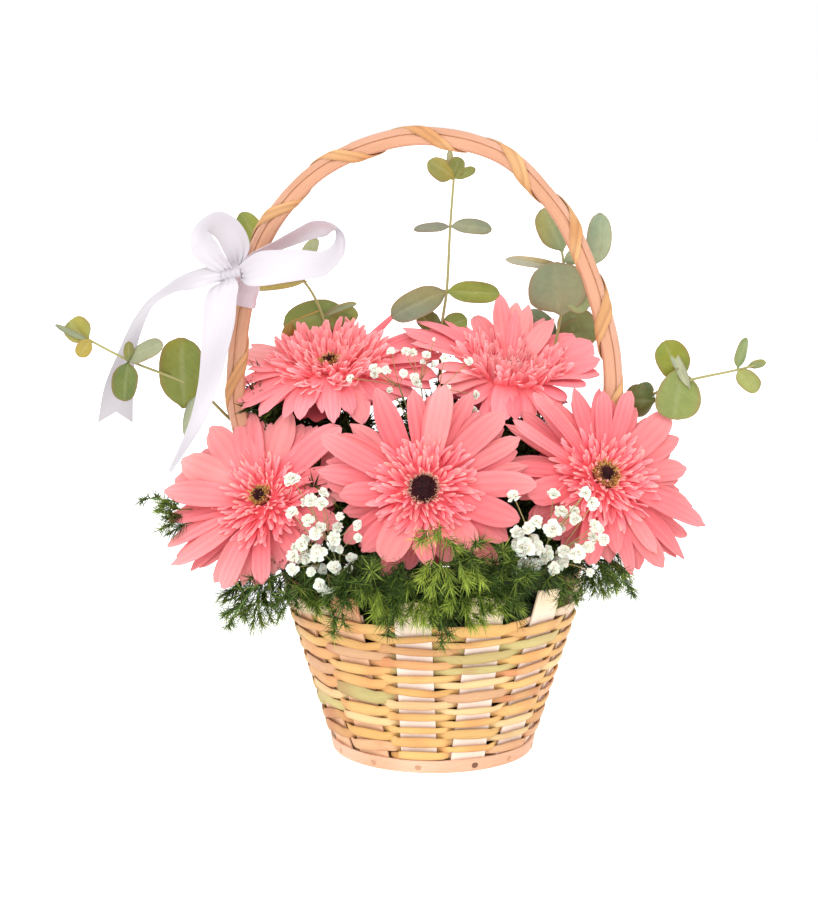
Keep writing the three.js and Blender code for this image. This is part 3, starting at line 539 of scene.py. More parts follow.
def build_hoop():
    rng = np.random.default_rng(3)
    skin = Skin()
    turns = np.linspace(0, TAU, 105)[:-1]
    inner, outer, high, edge = 56.9, 58.5, 7.6, 0.3
    profile = [(inner, 0), (outer - edge, 0), (outer, 0.5), (outer + 0.12, 3.8), (outer, 7.1)]
    profile += [(outer - edge, high), (inner, high)]
    rings = np.stack([round_about(X, Y, turns) * (r + 0.6 * WALL_SLOPE * z) + Z * z for r, z in profile], 1)
    tones = blend(linear("f0c3a6"), linear("e8b493"), 0.5 + 0.5 * np.sin(turns * 5 + 1.3 * np.sin(turns * 3)))
    heights = np.array([z for _, z in profile])
    lofts(skin, rings[None], tones[None, :, None], pairs(turns[:, None] * 57, heights)[None], loop=True)
    for j in range(STAKES):
        # a nail over every stake; the one that shows best is dark and stands aside
        odd = j == 1
        dark = 0 if odd else rng.uniform(0.75, 1)
        centre = by_stake(j, 3.9, rng.uniform(-1, 1) + (3 if odd else 0), 2.2)
        path = centre + unit(centre * (1, 1, 0)) * np.array([-0.6, 0.9, 1.25, 1.35])[:, None]
        tubes(skin, path, [2.1, 2.1, 1.8, 0.9], 12, blend(linear("7a5644"), linear("d4a27e"), dark), tip=0.05)
    piece(skin, "hoop_look", wood, "hoop_wood", "base_hoop")


# handle
LEFT_LEG = [(-93.5, 140), (-107, 176), (-113, 207), (-111.5, 237), (-107, 265), (-98, 294)]
CROWN = [(-84, 316), (-66, 333), (-40, 346.5), (-10, 353), (20, 349.5), (44, 339), (61, 323), (76, 304)]
RIGHT_LEG = [(88, 279), (96, 253), (101, 227), (102, 203), (98, 172), (90, 140)]
HANDLE_LENGTH = 754.4
RODS = {
    # outward place of the middle, half width, half depth, side on which the two meet, tint
    "outer": (3.42, 2.0, 4.1, -1, "daa68b"),
    "inner": (-1.74, 3.46, 4.45, 1, "d9a080"),
}
SPLINT_PITCH = 50.2
SPLINT_START = 22  # degrees from outwards to the front
SPLINT_GROOVE = 0.15
BAND_SHARE = 0.311  # where the ribbon's band lies, as a share of the handle's length
cane = material("handle_cane", (2.2, 0.03), 0.12, 0.16, 0.5, fine=(6.0, 0.1, 0.4), Specular_IOR_Level=0.35)


def handle_line():
    """The middle of the handle, from foot to foot; the feet stand inside the wall"""
    feet = [(wall_radius(z) - 7.4, z) for z in (90, 40)]
    line = [*[(-x, z) for x, z in reversed(feet)], *LEFT_LEG, *CROWN, *RIGHT_LEG, *feet]
    return spline([(x, 0, z) for x, z in line], 24)


HANDLE = handle_line()


def handle_frame(shares):
    """Centre, along and outward directions at shares of the handle's length"""
    shares = np.asarray(shares, float)
    before, after = np.maximum(shares - 0.004, 0), np.minimum(shares + 0.004, 1)
    along = unit(at_shares(HANDLE, after) - at_shares(HANDLE, before))
    return at_shares(HANDLE, shares), along, np.cross(along, Y)


def build_rods():
    rng = np.random.default_rng(21)
    n, m = 220, 28
    shares = np.linspace(0, 1, n)
    centre, _, outward = handle_frame(shares)
    angle = np.arange(m) * TAU / m
    cos, sin = np.cos(angle), np.sin(angle)
    power = lambda c, e: np.sign(c) * np.abs(c) ** e
    wander = 0.35 * wavy(rng, 20, n)[:, None]
    ribs = np.cos(7 * angle + 1)
    groove = 1 - 0.035 * ribs - 0.02 * np.cos(11 * angle)
    for name, (middle, half, depth, meet, tone) in RODS.items():
        skin = Skin()
        wave = wavy(rng, 44, n)[:, None]
        o = middle + wander + half * power(sin, 0.7) * np.where(sin * meet < 0, groove * (1 + 0.07 * wave), 1)
        f = depth * power(cos, np.where(sin * meet > 0, 0.3, 0.62)) * groove * (1 + 0.025 * wave)
        rings = centre[:, None] + FRONT * f[..., None] + outward[:, None] * o[..., None]
        patches = np.clip(0.2 + 0.3 * wavy(rng, 46, n), 0, 1)
        tones = blend(linear(tone), linear("cc936f"), patches)[:, None] * (1 - 0.12 * (ribs > 0.86))[:, None]
        # painted shade: a deeper tint in the seam between the rods
        tints = tones + (linear("d39c74") - tones) * ramp(sin * meet, 0.7, 0.95)[:, None]
        uvs = pairs(angle * 3, shares[:, None] * round(HANDLE_LENGTH))
        lofts(skin, rings[None], tints[None], uvs[None])
        piece(skin, f"handle_rod_{name}_look", cane, "handle_wood", f"handle_rod_{name}")


def round_rods(turn):
    """How far the two rods together reach at an angle from outwards to the front"""
    wide, deep, square = 5.4, 4.5, 3.4
    near = (np.abs(np.cos(turn)) / wide) ** square + (np.abs(np.sin(turn)) / deep) ** square
    return near ** (-1 / square)


def build_splint():
    rng = np.random.default_rng(22)
    n = 520
    first, last = 0.1, 0.9
    share, s = np.linspace(first, last, n), np.linspace(0, 1, n)
    centre, along, outward = handle_frame(share)
    turns = (last - first) * HANDLE_LENGTH / SPLINT_PITCH
    angle = math.radians(SPLINT_START) + TAU * turns * s + 0.12 * wavy(rng, 26, n)
    v = np.linspace(-1, 1, 9)
    wide = (3.0 + 0.5 * wavy(rng, 30, n))[:, None] * v
    turn = angle[:, None] - wide * 0.8 / 5
    # two strands lie side by side, with a groove between them
    relief = 0.75 - 0.5 * v**4 - 0.55 * bell((v - SPLINT_GROOVE) / 0.16)
    out = round_about(outward[:, None], FRONT, turn) * (round_rods(turn) + relief)[..., None]
    grid = centre[:, None] + along[:, None] * (wide * 0.6)[..., None] + out
    tone = blend(linear("d2955f"), linear("dfab76"), np.clip(0.5 + 0.45 * wavy(rng, 60, n), 0, 1))
    # painted shade at the splint's edges and in the groove between its strands; one strand is a little
    # lighter than the other
    lines = 1 - 0.2 * v**4 - 0.5 * bell((v - SPLINT_GROOVE) / 0.14) + 0.06 * np.sign(v)
    uvs = pairs(v * 3, share[:, None] * round(HANDLE_LENGTH))
    skin = Skin()
    sheets(skin, grid[None], 0.8 - 0.3 * v**2, (tone[:, None] * lines[:, None])[None], uvs[None])
    piece(skin, "handle_splint_look", cane, "splint_wood", "handle_splint")


# ribbon
RIBBON = 19
SATIN_THICKNESS = 0.4
KNOT = np.array([-113.5, -14, 277.5])
# edge lines of the loops and tails, as pairs of points along them
LEFT_LOOP = [
    ((-117, -20, 277), (-112, -20, 280)), ((-127, -23, 282), (-114, -23, 285)),
    ((-134, -25, 289), (-117, -25, 290)), ((-136, -25, 297), (-120, -25, 296)),
    ((-133, -23, 305), (-124, -22, 301)), ((-127, -19, 310), (-126, -18, 302)),
    ((-120, -13, 312), (-125, -15, 301)), ((-112, -9, 308), (-121, -12, 297)),
    ((-106, -8, 300), (-118, -12, 291)), ((-104, -9, 291), (-115, -13, 285)),
    ((-108, -12, 283), (-112, -14, 280)),
]
RIGHT_LOOP = [
    ((-111, -20, 279), (-108, -20, 275)), ((-105, -24, 286), (-104, -24, 272)),
    ((-97, -27, 291), (-95, -27, 272)), ((-86, -29, 292), (-83, -29, 274)),
    ((-74, -29, 292), (-71, -29, 276)), ((-63, -28, 291), (-61, -28, 278)),
    ((-57, -24, 294), (-54, -24, 284)), ((-55, -18, 298), (-50, -18, 290)),
    ((-56, -12, 302), (-50, -13, 299)), ((-61, -9, 298), (-57, -10, 306)), ((-69, -8, 296), (-68, -8, 307)),
    ((-80, -9, 292), (-80, -9, 301)), ((-91, -11, 288), (-92, -10, 294)),
    ((-102, -13, 284), (-103, -12, 288)), ((-109, -14, 278), (-110, -14, 281)),
]
LEFT_TAIL = [
    ((-113, -20, 280), (-118, -20, 274)), ((-122, -21, 282), (-126, -21, 272)),
    ((-133, -20, 280), (-135, -20, 270)), ((-144, -18, 275), (-143, -18, 269)),
    ((-152, -15, 269), (-151, -14, 265)), ((-163, -11, 260), (-158, -9, 259)),
    ((-173, -8, 246), (-164, -6, 247)), ((-181, -6, 229), (-169, -4, 232)),
    ((-188, -5, 211), (-171, -3, 215)), ((-192, -4, 191), (-172, -3, 191)),
]
RIGHT_TAIL = [
    ((-118, -20, 274), (-112, -20, 277)), ((-125, -25, 270), (-109, -24, 272)),
    ((-128, -27, 263), (-110, -26, 264)), ((-129, -29, 251), (-111, -27, 252)),
    ((-130, -31, 235), (-115, -28, 235)), ((-132, -32, 217), (-120, -29, 217)),
    ((-137, -33, 197), (-128, -30, 198)), ((-143, -33, 181), (-138, -31, 182)),
    ((-149, -33, 168), (-147, -32, 168)),
]
satin = material(
    "satin", (0.5, 0.05), 0.03, 0.05, 0.33, 0.05, fine=(9.0, 1.2, 0.3),
    Sheen_Weight=0.35, Sheen_Roughness=0.35, Specular_IOR_Level=0.5, Anisotropic=0.4,
)


def ribbon_strip(skin, edges, tilt, n=90, notch=0.0, pinch=(1.0, 1.0), far_shade=1.0):
    """A strip of ribbon between two edge lines; gives its length.

    Where the edges are near each other the strip is turned away, by tilt. Near the knot (pinch) it gathers
    into pleats, with a little painted shade. Notch is how far its end is cut in, and fade the lightness of
    its far end, which is painted shade there.
    """
    ends = through(edges, n)
    middle = ends.mean(1)
    run = run_along(middle)
    near = pinch[0] * np.exp(-run / 7) + pinch[1] * np.exp(-(run[-1] - run) / 7)
    seen = np.linalg.norm(ends[:, 1] - ends[:, 0], axis=1)
    depth = tilt * np.sqrt(np.clip(RIBBON**2 - seen**2, 0, None)) * np.clip(1 - 1.3 * near, 0, 1)
    depth = np.convolve(np.pad(depth, 6, mode="edge"), np.ones(13) / 13, mode="valid")
    ends[:, 0, 1] += depth / 2
    ends[:, 1, 1] -= depth / 2
    v = np.linspace(-1, 1, 21)[None]
    grid = blend(ends[:, :1], ends[:, 1:], (v + 1) / 2)
    along = unit(np.gradient(ends.mean(1), axis=0))
    normal = unit(np.cross(along, unit(ends[:, 1] - ends[:, 0])))
    pleats = near[:, None] * 0.7 * np.cos(3.5 * math.pi * v + 0.5) * (1 - 0.3 * v**2)
    soft = 0.7 * (1 - v**2) + 0.35 * np.sin(2.4 * v + run[:, None] / 11)
    share = run / run[-1]
    cut = notch * ramp(share, 0.86, 1)[:, None] * (np.abs(v) - 1)
    grid = grid + normal[:, None] * (pleats + soft)[..., None] + along[:, None] * cut[..., None]
    edge = 1 - 0.05 * (np.abs(v) > 0.93)
    # painted shade over the far end and, faintly, near the knot; painted highlights in soft light and dark
    # bands along the strip
    shade = (1 - (1 - far_shade) * ramp(share, 0.35, 0.6)) * (1 - 0.06 * near)
    painted_sheen = 0.05 * np.sin(run[:, None] / 9 + 0.9 * v + tilt * 9) * (1 - 0.5 * v**2)
    tints = (linear("d0cad0") * edge[..., None] + painted_sheen[..., None]) * shade[:, None, None]
    sheets(skin, grid[None], SATIN_THICKNESS, tints[None], pairs(v * RIBBON / 2, run[:, None])[None])
    return run[-1]


def add_knot(skin):
    """A short gathered wrap round the middle of the bow; gives its length"""
    turns, middle_radius = 1.1, 6.5
    turn = np.linspace(0, TAU * turns, 48)[:, None]
    v = np.linspace(-1, 1, 17)[None]
    gather = 0.45 * np.cos(4 * math.pi * v + 0.7 * np.sin(turn)) + 0.7 * (1 - v**2) + 0.25 * turn / TAU
    grid = KNOT + np.stack([
        v * (4.6 + 0.9 * np.cos(turn)) - 0.18 * np.sin(turn) * 4,
        -(7.6 + gather) * np.cos(turn),
        (4.3 + gather) * np.sin(turn) + v * 1.3,
    ], -1)
    # the wrap is a little darker than the loops, and painted shade lies in stripes along its gathers
    tints = linear("c8c1c8") * (1 - 0.1 * np.cos(4 * math.pi * v))[..., None]
    sheets(skin, grid[None], SATIN_THICKNESS, tints[None], pairs(v * 8, turn * 6)[None])
    return TAU * turns * middle_radius


def add_band(skin):
    """The band round the handle; gives its length"""
    centre, along, outward = (x[0] for x in handle_frame([BAND_SHARE]))
    turns, middle_radius, half_width = 1.04, 6, 7.5
    turn = np.linspace(0, TAU * turns, 60)[:, None]
    v = np.linspace(-1, 1, 13)[None]
    crease = 0.22 * np.sin(6 * v + 1.5 * np.sin(turn)) + 0.25 * turn / TAU
    reach = round_rods(turn) + 1.5 + crease
    out = round_about(outward, FRONT, turn) * reach[..., None]
    grid = centre + along * (v * half_width)[..., None] + out
    sheets(skin, grid[None], SATIN_THICKNESS, linear("d8c2c9"), pairs(v * 12, turn * 8)[None])
    return TAU * turns * middle_radius


def build_bow():
    skin = Skin()
    length = sum([
        ribbon_strip(skin, LEFT_LOOP, 0.8),
        ribbon_strip(skin, RIGHT_LOOP, 0.55, 110),
        ribbon_strip(skin, LEFT_TAIL, 0.8, notch=6.5, pinch=(1, 0), far_shade=0.76),
        ribbon_strip(skin, RIGHT_TAIL, 0.6, pinch=(0.8, 0)),
        add_knot(skin),
        add_band(skin),
    ])
    bow = piece(skin, "ribbon_bow_look", satin, "satin", "ribbon_bow", sharp=70)
    print("ribbon length", round(length))


# gerberas
HEADS = {
    # the eye, the way that it faces, and where the stem enters the foam
    "front": ((-6, -66, 165), (0, -0.94, 0.33), (-3, -30)),
    "left": ((-98, -38, 156), (-0.35, -0.73, 0.56), (-40, -14)),
    "right": ((97, -38, 168), (0.31, -0.76, 0.53), (40, -12)),
    "back_left": ((-60, 18, 225), (-0.09, -0.32, 0.92), (-26, 16)),
    "back_right": ((46, 22, 221), (0.16, -0.25, 0.93), (22, 18)),
}
# long petals: (way round in degrees, reach, width, layer from 0 at the back to 3 at the front)
PETALS = {
    "front": [
        (8, 60, 16, 2), (18, 58, 12, 0), (29, 60, 12, 1), (47, 60, 15, 1), (56, 53, 10, 0), (67, 61, 13, 1),
        (76, 57, 15, 3), (86, 57, 12, 2), (94, 57, 12, 1), (120, 62, 16, 1), (140, 55, 11, 1),
        (155, 61, 13, 2), (166, 58, 14, 1), (178, 52, 12, 0), (188, 45, 15, 2), (207, 50, 12, 0),
        (225, 46, 15, 1), (238, 43, 20, 3), (246, 50, 14, 0), (268, 41, 14, 2), (283, 40, 12, 0),
        (296, 37, 11, 1), (308, 43, 16, 2), (314, 56, 12, 0), (329, 52, 15, 1), (342, 53, 18, 2),
    ],
    "left": [
        (6, 40, 13, 0), (27, 46, 16, 1), (44, 50, 14, 0), (58, 58, 20, 2), (74, 54, 16, 0), (89, 60, 18, 1),
        (104, 56, 16, 0), (113, 62, 15, 1), (122, 64, 19, 2), (129, 62, 16, 0), (138, 62, 19, 2),
        (151, 61, 21, 1), (161, 60, 20, 2), (175, 62, 20, 1), (186, 59, 18, 2), (196, 58, 15, 1),
        (206, 61, 13, 2), (219, 58, 12, 1), (230, 61, 14, 2), (237, 52, 12, 0), (250, 52, 13, 1),
        (262, 54, 12, 2), (272, 47, 12, 0), (281, 48, 13, 1), (296, 40, 13, 0), (312, 44, 14, 1),
        (333, 44, 18, 1), (350, 46, 15, 1),
    ],
    "right": [
        (4, 56, 14, 1), (24, 57, 16, 1), (32, 63, 18, 2), (42, 56, 11, 0), (53, 56, 11, 1), (62, 60, 11, 2),
        (70, 62, 12, 1), (78, 58, 11, 1), (83, 62, 11, 0), (99, 60, 13, 1), (115, 58, 8, 1),
        (124, 61, 9, 2), (139, 60, 10, 1), (149, 59, 9, 2), (157, 52, 10, 0), (166, 56, 11, 1),
        (178, 50, 12, 0), (188, 46, 17, 2), (204, 48, 14, 0), (218, 46, 14, 1), (234, 48, 14, 0),
        (248, 52, 17, 1), (262, 46, 12, 0), (272, 43, 13, 2), (279, 54, 13, 1), (291, 58, 13, 1),
        (297, 50, 10, 2), (307, 58, 11, 0), (318, 62, 13, 1), (331, 62, 14, 2), (344, 60, 13, 1),
        (354, 55, 12, 0),
    ],
    "back_left": [
        (8, 58, 15, 1), (24, 52, 13, 0), (40, 46, 13, 0), (60, 44, 13, 0), (82, 44, 13, 0),
        (104, 44, 13, 0), (126, 48, 13, 0), (146, 56, 13, 1), (160, 62, 14, 0), (176, 54, 12, 0),
        (196, 56, 8, 1), (208, 52, 11, 0), (216, 58, 12, 2), (226, 54, 11, 0), (237, 55, 13, 2),
        (250, 44, 11, 0), (259, 46, 12, 2), (271, 40, 9, 1), (280, 40, 9, 1), (289, 48, 12, 2),
        (299, 46, 12, 0), (308, 55, 18, 2), (326, 56, 15, 1), (343, 60, 18, 2), (356, 57, 12, 0),
    ],
    "back_right": [
        (4, 58, 17, 1), (15, 60, 19, 2), (28, 58, 19, 1), (42, 52, 14, 0), (55, 46, 12, 1), (67, 48, 13, 2),
        (79, 54, 15, 2), (87, 53, 14, 3), (97, 64, 13, 2), (109, 54, 13, 1), (118, 52, 14, 1),
        (132, 54, 11, 1), (146, 56, 10, 1), (158, 57, 11, 2), (172, 52, 11, 0), (186, 50, 12, 1),
        (202, 48, 13, 0), (218, 46, 13, 1), (234, 44, 15, 2), (250, 42, 12, 0), (262, 44, 13, 1),
        (278, 42, 12, 0), (294, 44, 13, 1), (310, 46, 13, 0), (326, 50, 14, 1), (342, 54, 16, 2),
        (352, 56, 13, 0),
    ],
}
# long petals of the heads that look upwards: (x, y and z of the tip, width, layer, bow in degrees, paleness)
TIPS = {
    "back_left": [
        (-109, 26, 230, 10.5, 1, 14, 0.35), (-110, 18, 224, 10.5, 2, 16, 0.25),
        (-106, 8, 222, 5.8, 3, 14, 0.1), (-112, 4, 215, 5.2, 3, 20, 0.15), (-115, 0, 212, 4.7, 2, 26, 0.2),
        (-106, 34, 232, 7.0, 0, 12, 0.4), (-112, -6, 207, 8.7, 2, 26, 0.1),
        (-109, -12, 203, 8.7, 1, 28, 0.1), (-99, -18, 200, 8.1, 2, 32, 0.15),
        (-94, -14, 203, 7.0, 1, 30, 0.1), (-77, -26, 200, 7.6, 3, 36, 0.1),
        (-84, -24, 200, 8.7, 1, 34, 0.1), (-71, -22, 205, 7.0, 2, 34, 0.1),
        (-64, -24, 203, 7.0, 2, 36, 0.05), (-56, -28, 198, 8.1, 3, 38, 0.1),
        (-39, -22, 197, 12.8, 2, 38, 0.2), (-47, -24, 202, 7.6, 1, 36, 0.05),
        (-33, -12, 207, 8.1, 0, 28, 0), (-27, -10, 203, 8.1, 1, 26, 0), (-7, 12, 220, 11.6, 2, 14, 0.1),
        (-17, -2, 208, 12.2, 1, 22, 0.1), (-11, 4, 214, 9.3, 2, 18, 0.05), (8, 34, 237, 9.9, 2, 16, 0.05),
        (4, 28, 231, 9.3, 1, 16, 0.1), (10, 24, 227, 8.7, 2, 14, 0.1), (-2, 42, 241, 7.0, 1, 14, 0),
        (-18, 58, 251, 3.5, 2, 2, 0), (-1, 16, 225, 8.7, 1, 14, 0), (2, 10, 218, 10, 1, 20, 0.1),
        (-2, 4, 212, 11, 2, 24, 0.1), (-9, -2, 208, 9, 1, 26, 0.1), (-2, 14, 229, 9, 1, 14, 0.15),
    ],
    "back_right": [
        (40, 60, 258, 9.3, 3, 4, 0.15), (50, 64, 253, 9.3, 1, 3, 0.5), (57, 60, 252, 9.9, 2, 3, 0.35),
        (49, 52, 249, 5.8, 3, 2, 0.1), (71, 50, 245, 8.7, 2, 5, 0.3), (26, 56, 246, 11.6, 1, 6, 0.2),
        (65, 60, 244, 8.1, 0, 5, 0.3), (-8, 34, 247, 6.4, 2, 22, 0.05), (-16, 30, 244, 7.0, 1, 24, 0.1),
        (7, 44, 246, 5.8, 3, 14, 0.05), (-15, 24, 241, 8.1, 1, 22, 0.1), (-12, 16, 236, 7.0, 2, 20, 0.15),
        (-1, 36, 241, 5.8, 2, 18, 0), (14, 50, 243, 5.8, 2, 10, 0), (83, 44, 236, 14.5, 1, 10, 0.12),
        (93, 36, 233, 15.1, 2, 12, 0.1), (96, 22, 226, 14.5, 1, 14, 0.05), (95, 8, 218, 11.6, 2, 12, 0.1),
        (76, 34, 230, 8.1, 3, 4, 0.1), (86, -4, 213, 9.3, 0, 12, 0), (38, -22, 197, 12.8, 3, 34, 0.1),
        (28, -20, 193, 8.7, 2, 34, 0.05), (54, -18, 196, 9.9, 2, 32, 0.1), (65, -16, 197, 7.6, 1, 32, 0.1),
        (75, -14, 199, 7.0, 2, 30, 0.2), (75, -8, 207, 7.6, 1, 24, 0), (11, 2, 214, 5.8, 2, 20, 0),
        (13, -4, 209, 7.0, 1, 24, 0.05), (19, -12, 204, 8.1, 1, 30, 0.1), (46, -22, 199, 8.1, 0, 34, 0),
        (4, -4, 217, 8.5, 2, 24, 0.3), (2, 4, 223, 7.5, 1, 20, 0.25), (7, -8, 212, 8.5, 1, 28, 0.25),
    ],
}
# rings of straps in the double middle: (root radius, how many, length, angle above the head's plane, width)
CROWNS = {
    "front": [
        (21.5, 50, 12.5, 9, 2.4), (19, 48, 13, 17, 2.3), (16.5, 44, 13, 25, 2.1), (14, 40, 11.5, 34, 1.9),
        (11.8, 36, 9.5, 44, 1.6), (9.6, 32, 7, 56, 1.2),
    ],
    "left": [
        (21.5, 50, 12.5, 11, 2.4), (19, 48, 13, 19, 2.3), (16, 44, 12.5, 28, 2.1), (13, 38, 11.5, 38, 1.9),
        (10.4, 34, 9.5, 50, 1.6), (8, 28, 7, 64, 1.2),
    ],
    "right": [
        (22, 50, 13, 9, 2.4), (19, 48, 13.5, 17, 2.3), (16, 44, 12.5, 26, 2.1), (13.2, 38, 11.5, 38, 1.9),
        (10.6, 34, 9.5, 50, 1.6), (8.4, 28, 7, 64, 1.2),
    ],
    "back_left": [
        (24, 48, 20, 32, 4.8), (21, 48, 20, 37, 4.4), (18, 46, 19, 42, 3.9), (15.5, 42, 17, 46, 3.5),
        (13, 38, 15, 50, 3.0), (10.5, 34, 12, 54, 2.6), (8.4, 28, 9, 60, 2.1), (6.6, 18, 6, 66, 1.7),
    ],
    "back_right": [
        (24, 50, 19, 46, 3.9), (22, 50, 18, 55, 3.6), (19.5, 46, 16.5, 63, 3.3), (16.5, 42, 14.5, 70, 2.9),
        (13.5, 36, 12.5, 76, 2.5), (10, 30, 11, 82, 2.2), (6.5, 22, 10, 86, 1.9), (3.5, 12, 9, 90, 1.7),
    ],
}
# the eye: radius of the dark middle, and of the ring of stamens round it, and the stamens' two tones
EYES = {
    "front": (6.6, 8.2, "eeb79c", "fbdcc8"),
    "left": (2.7, 6.0, "d79c34", "f6d49a"),
    "right": (3.1, 8.0, "d89a38", "f6d49a"),
    "back_left": (2.4, 6.2, "d69a3c", "f6d49a"),
    "back_right": (0.9, 2.6, "e9b48c", "fbdcc8"),
}
EYE_DARK, EYE_RIM = "2a0d12", "9a5238"
# one head is paler than the others
HEAD_TONES = {"left": np.array([1.03, 1.22, 1.2])}
# petals by layer: depth from the eye's plane, and angles above it in degrees at their start and end
LAYERS = [(-9.5, -2, -20), (-8, 5, -13), (-6.8, 9, -9), (-5.4, 11, -6)]
PETAL_ROOT = 8.5  # radius at which the long petals start
BACK_PETAL_WIDTH = 11.0
LEAST_GAP, GREATEST_GAP = 8.5, 24  # degrees between neighbours that get one more petal behind them
# by head: (way round, how wide in degrees, extra rise) of the petals that are lifted
LIFTS = {"left": [(90, 48, 19), (180, 36, 14)], "right": [(95, 40, 19)]}
# how far the straps' roots rise from the edge of the double middle to its centre
MIDDLE_RISES = {"back_left": 1.5, "back_right": -2.0}
# the heads that look upwards have lighter tones: partly their own paler pink, partly painted light against
# the shade among their petals
LONG_TONES, BACK_LONG_TONES = ("ea4452", "f9737a", "fb8e91"), ("f24c58", "fc7882", "fd8c95")
STRAP_TONES, BACK_STRAP_TONES = ("ea4e5a", "fb7882", "fd9a9e"), ("f2525c", "fd858c", "ffa9ac")
# painted shade: the tones of the dark petals that stand for the shade behind the heads
DARK_TONES = ("6e1c26", "8e2e38", "ac444c")
# outlines: (share of the length, share of the greatest width)
PETAL_OUTLINE = [
    (0, 0.42), (0.12, 0.58), (0.3, 0.84), (0.5, 0.97), (0.68, 1), (0.8, 0.96), (0.88, 0.85), (0.94, 0.68),
    (0.98, 0.42), (1, 0.14),
]
POINTED = [
    (0, 0.4), (0.15, 0.56), (0.35, 0.84), (0.5, 0.97), (0.62, 1), (0.75, 0.88), (0.86, 0.62), (0.94, 0.36),
    (0.98, 0.2), (1, 0.08),
]
STRAP_OUTLINE = [(0, 0.5), (0.3, 0.85), (0.6, 1), (0.84, 0.92), (1, 0.38)]
GOLDEN_ANGLE = 2.39996
NECK_DEPTH = 13.3
STEM_RADIUS = 2.65
FOAM_EDGE, FOAM_DOME, FOAM_RADIUS = 82, 10, 67.5

# the petals get a painted glow of their own colour, which stands in for light that comes through them and
# lifts their shade
petal_finish = material(
    "petal", (1.1, 0.05), 0.1, 0.16, 0.52, fine=(4.5, 0.12, 0.35), glow=0.14,
    Subsurface_Weight=0.1, Subsurface_Scale=0.002, Specular_IOR_Level=0.25, Sheen_Weight=0.15,
)
eye_finish = material("eye", (0.6, 0.6), 0.3, 0.2, 0.7, Specular_IOR_Level=0.2)
green = material("stem_green", (1.0, 0.06), 0.2, 0.15, 0.6, Specular_IOR_Level=0.3)


def facing(normal):
    """A face's direction, and right and up across it"""
    face = unit(normal)
    right = unit(np.cross(Z, face))
    return face, right, np.cross(face, right)


def head_frame(name):
    eye, normal, _ = HEADS[name]
    return np.array(eye, float), *facing(normal)


def add_turned(skin, centre, axes, profile, sides, tints, around=1, along=1, flute=0.0):
    """A closed round shape about a face's direction, through (radius, place along it) pairs"""
    face, right, up = axes
    turns = np.arange(sides) * TAU / sides
    ring = round_about(right, up, turns) * (1 + flute * np.cos(10 * turns))[:, None]
    rings = np.stack([centre + ring * r + face * z for r, z in profile])
    lofts(skin, rings[None], tints, pairs(turns * around, np.arange(len(profile))[:, None] * along)[None])


def ribs(v):
    """Fine ribs along a petal, by the place across it"""
    return np.cos(3.5 * math.pi * v)


def blades(
    roots, outs, face, length, width, bend, n, m, outline, cup=0.0, twist=0.0, ridge=0.0, curl=0.0, point=0.0
):
    """Grids of k thin blades: each leaves its root at one angle above the face's plane and ends at another.

    Cup lifts the edges, twist and curl turn a blade about its length and sideways, in radians. Ridge is the
    height of its ribs, and point is how much of the pointed outline it takes.
    """
    t, v = np.linspace(0, 1, n), np.linspace(-1, 1, m)
    cup, twist, curl, point = (np.broadcast_to(x, len(roots))[:, None] for x in (cup, twist, curl, point))
    side = unit(np.cross(face, outs))
    along = round_about(outs[:, None], face, np.radians(bend[:, :1] + (bend[:, 1:] - bend[:, :1]) * t**0.9))
    along = unit(along + side[:, None] * (curl * t)[..., None])
    steps = along * (length / (n - 1))[:, None, None]
    steps[:, 0] = 0
    spine = roots[:, None] + np.cumsum(steps, 1)
    across = square_to(side[:, None], along)
    above = np.cross(along, across)
    across, above = round_about(across, above, twist * t), round_about(above, -across, twist * t)
    profile, pointed = (np.interp(t, *zip(*line)) for line in (outline, POINTED))
    half = (width[:, None] / 2 * (profile + point * (pointed - profile)))[..., None]
    high = cup[..., None] * half * v**2 + ridge * ribs(v) * np.sin(math.pi * t)[:, None] ** 0.5
    grid = spine[:, :, None] + across[:, :, None] * (half * v)[..., None]
    return grid + above[:, :, None] * high[..., None], t, v, along


def side_by_side(count, gap, half, v, length, t):
    """Flat places of a row of blades: half the width times v across, and the length times t along"""
    each = lambda x: np.broadcast_to(x, count)[:, None, None]
    return pairs(v * each(half) + gap * each(np.arange(count)), t[:, None] * each(length))


def petal_tints(shape, t, v, rng, tones, spread=0.05, pale=0.0):
    """Deep at the root, lighter to the tip and the edges, each petal a little different"""
    root, middle, tip = map(linear, tones)
    along = blend(root, middle, ramp(t, 0, 0.45)) + (tip - middle) * ramp(t, 0.55, 1)[:, None] ** 1.3
    lighter = rng.normal(0, spread, (shape[0], 1, 1, 1)) + 0.06 * v[:, None] ** 4
    tints = along[:, None] * (1 + lighter - 0.075 * ribs(v)[:, None] * (1, 1.6, 1.5))
    pale = np.broadcast_to(np.reshape(pale, (-1, 1, 1)), shape[:3])
    return np.clip(blend(tints, linear("f9c6ba"), pale), 0, 1)


def petals_from_tips(name):
    """Long petals of a head that looks upwards"""
    eye, face, right, up = head_frame(name)
    rows = np.array(TIPS[name], float)
    rows = rows[np.argsort(rows[:, 4], kind="stable")]
    width, layer, bow, pale = rows[:, 3:].T
    layer = layer.astype(int)
    depth = np.array(LAYERS)[layer, 0]
    across, high, forward = ((rows[:, :3] - eye) @ way for way in (right, up, face))
    outs = round_about(right, up, np.arctan2(high, across))
    reach, rise = np.hypot(high, across) - PETAL_ROOT, forward - depth
    slope = np.degrees(np.arctan2(rise, reach))
    length = np.hypot(reach, rise) * (1 + 0.17 * np.radians(bow) ** 2)
    # petals at the sides are seen more nearly edge-on, and are broader than they look
    width = width * (1.25 + 0.85 * outs[:, 0] ** 2)
    return outs, layer, depth, np.stack([slope + bow, slope - bow], -1), length, width, pale


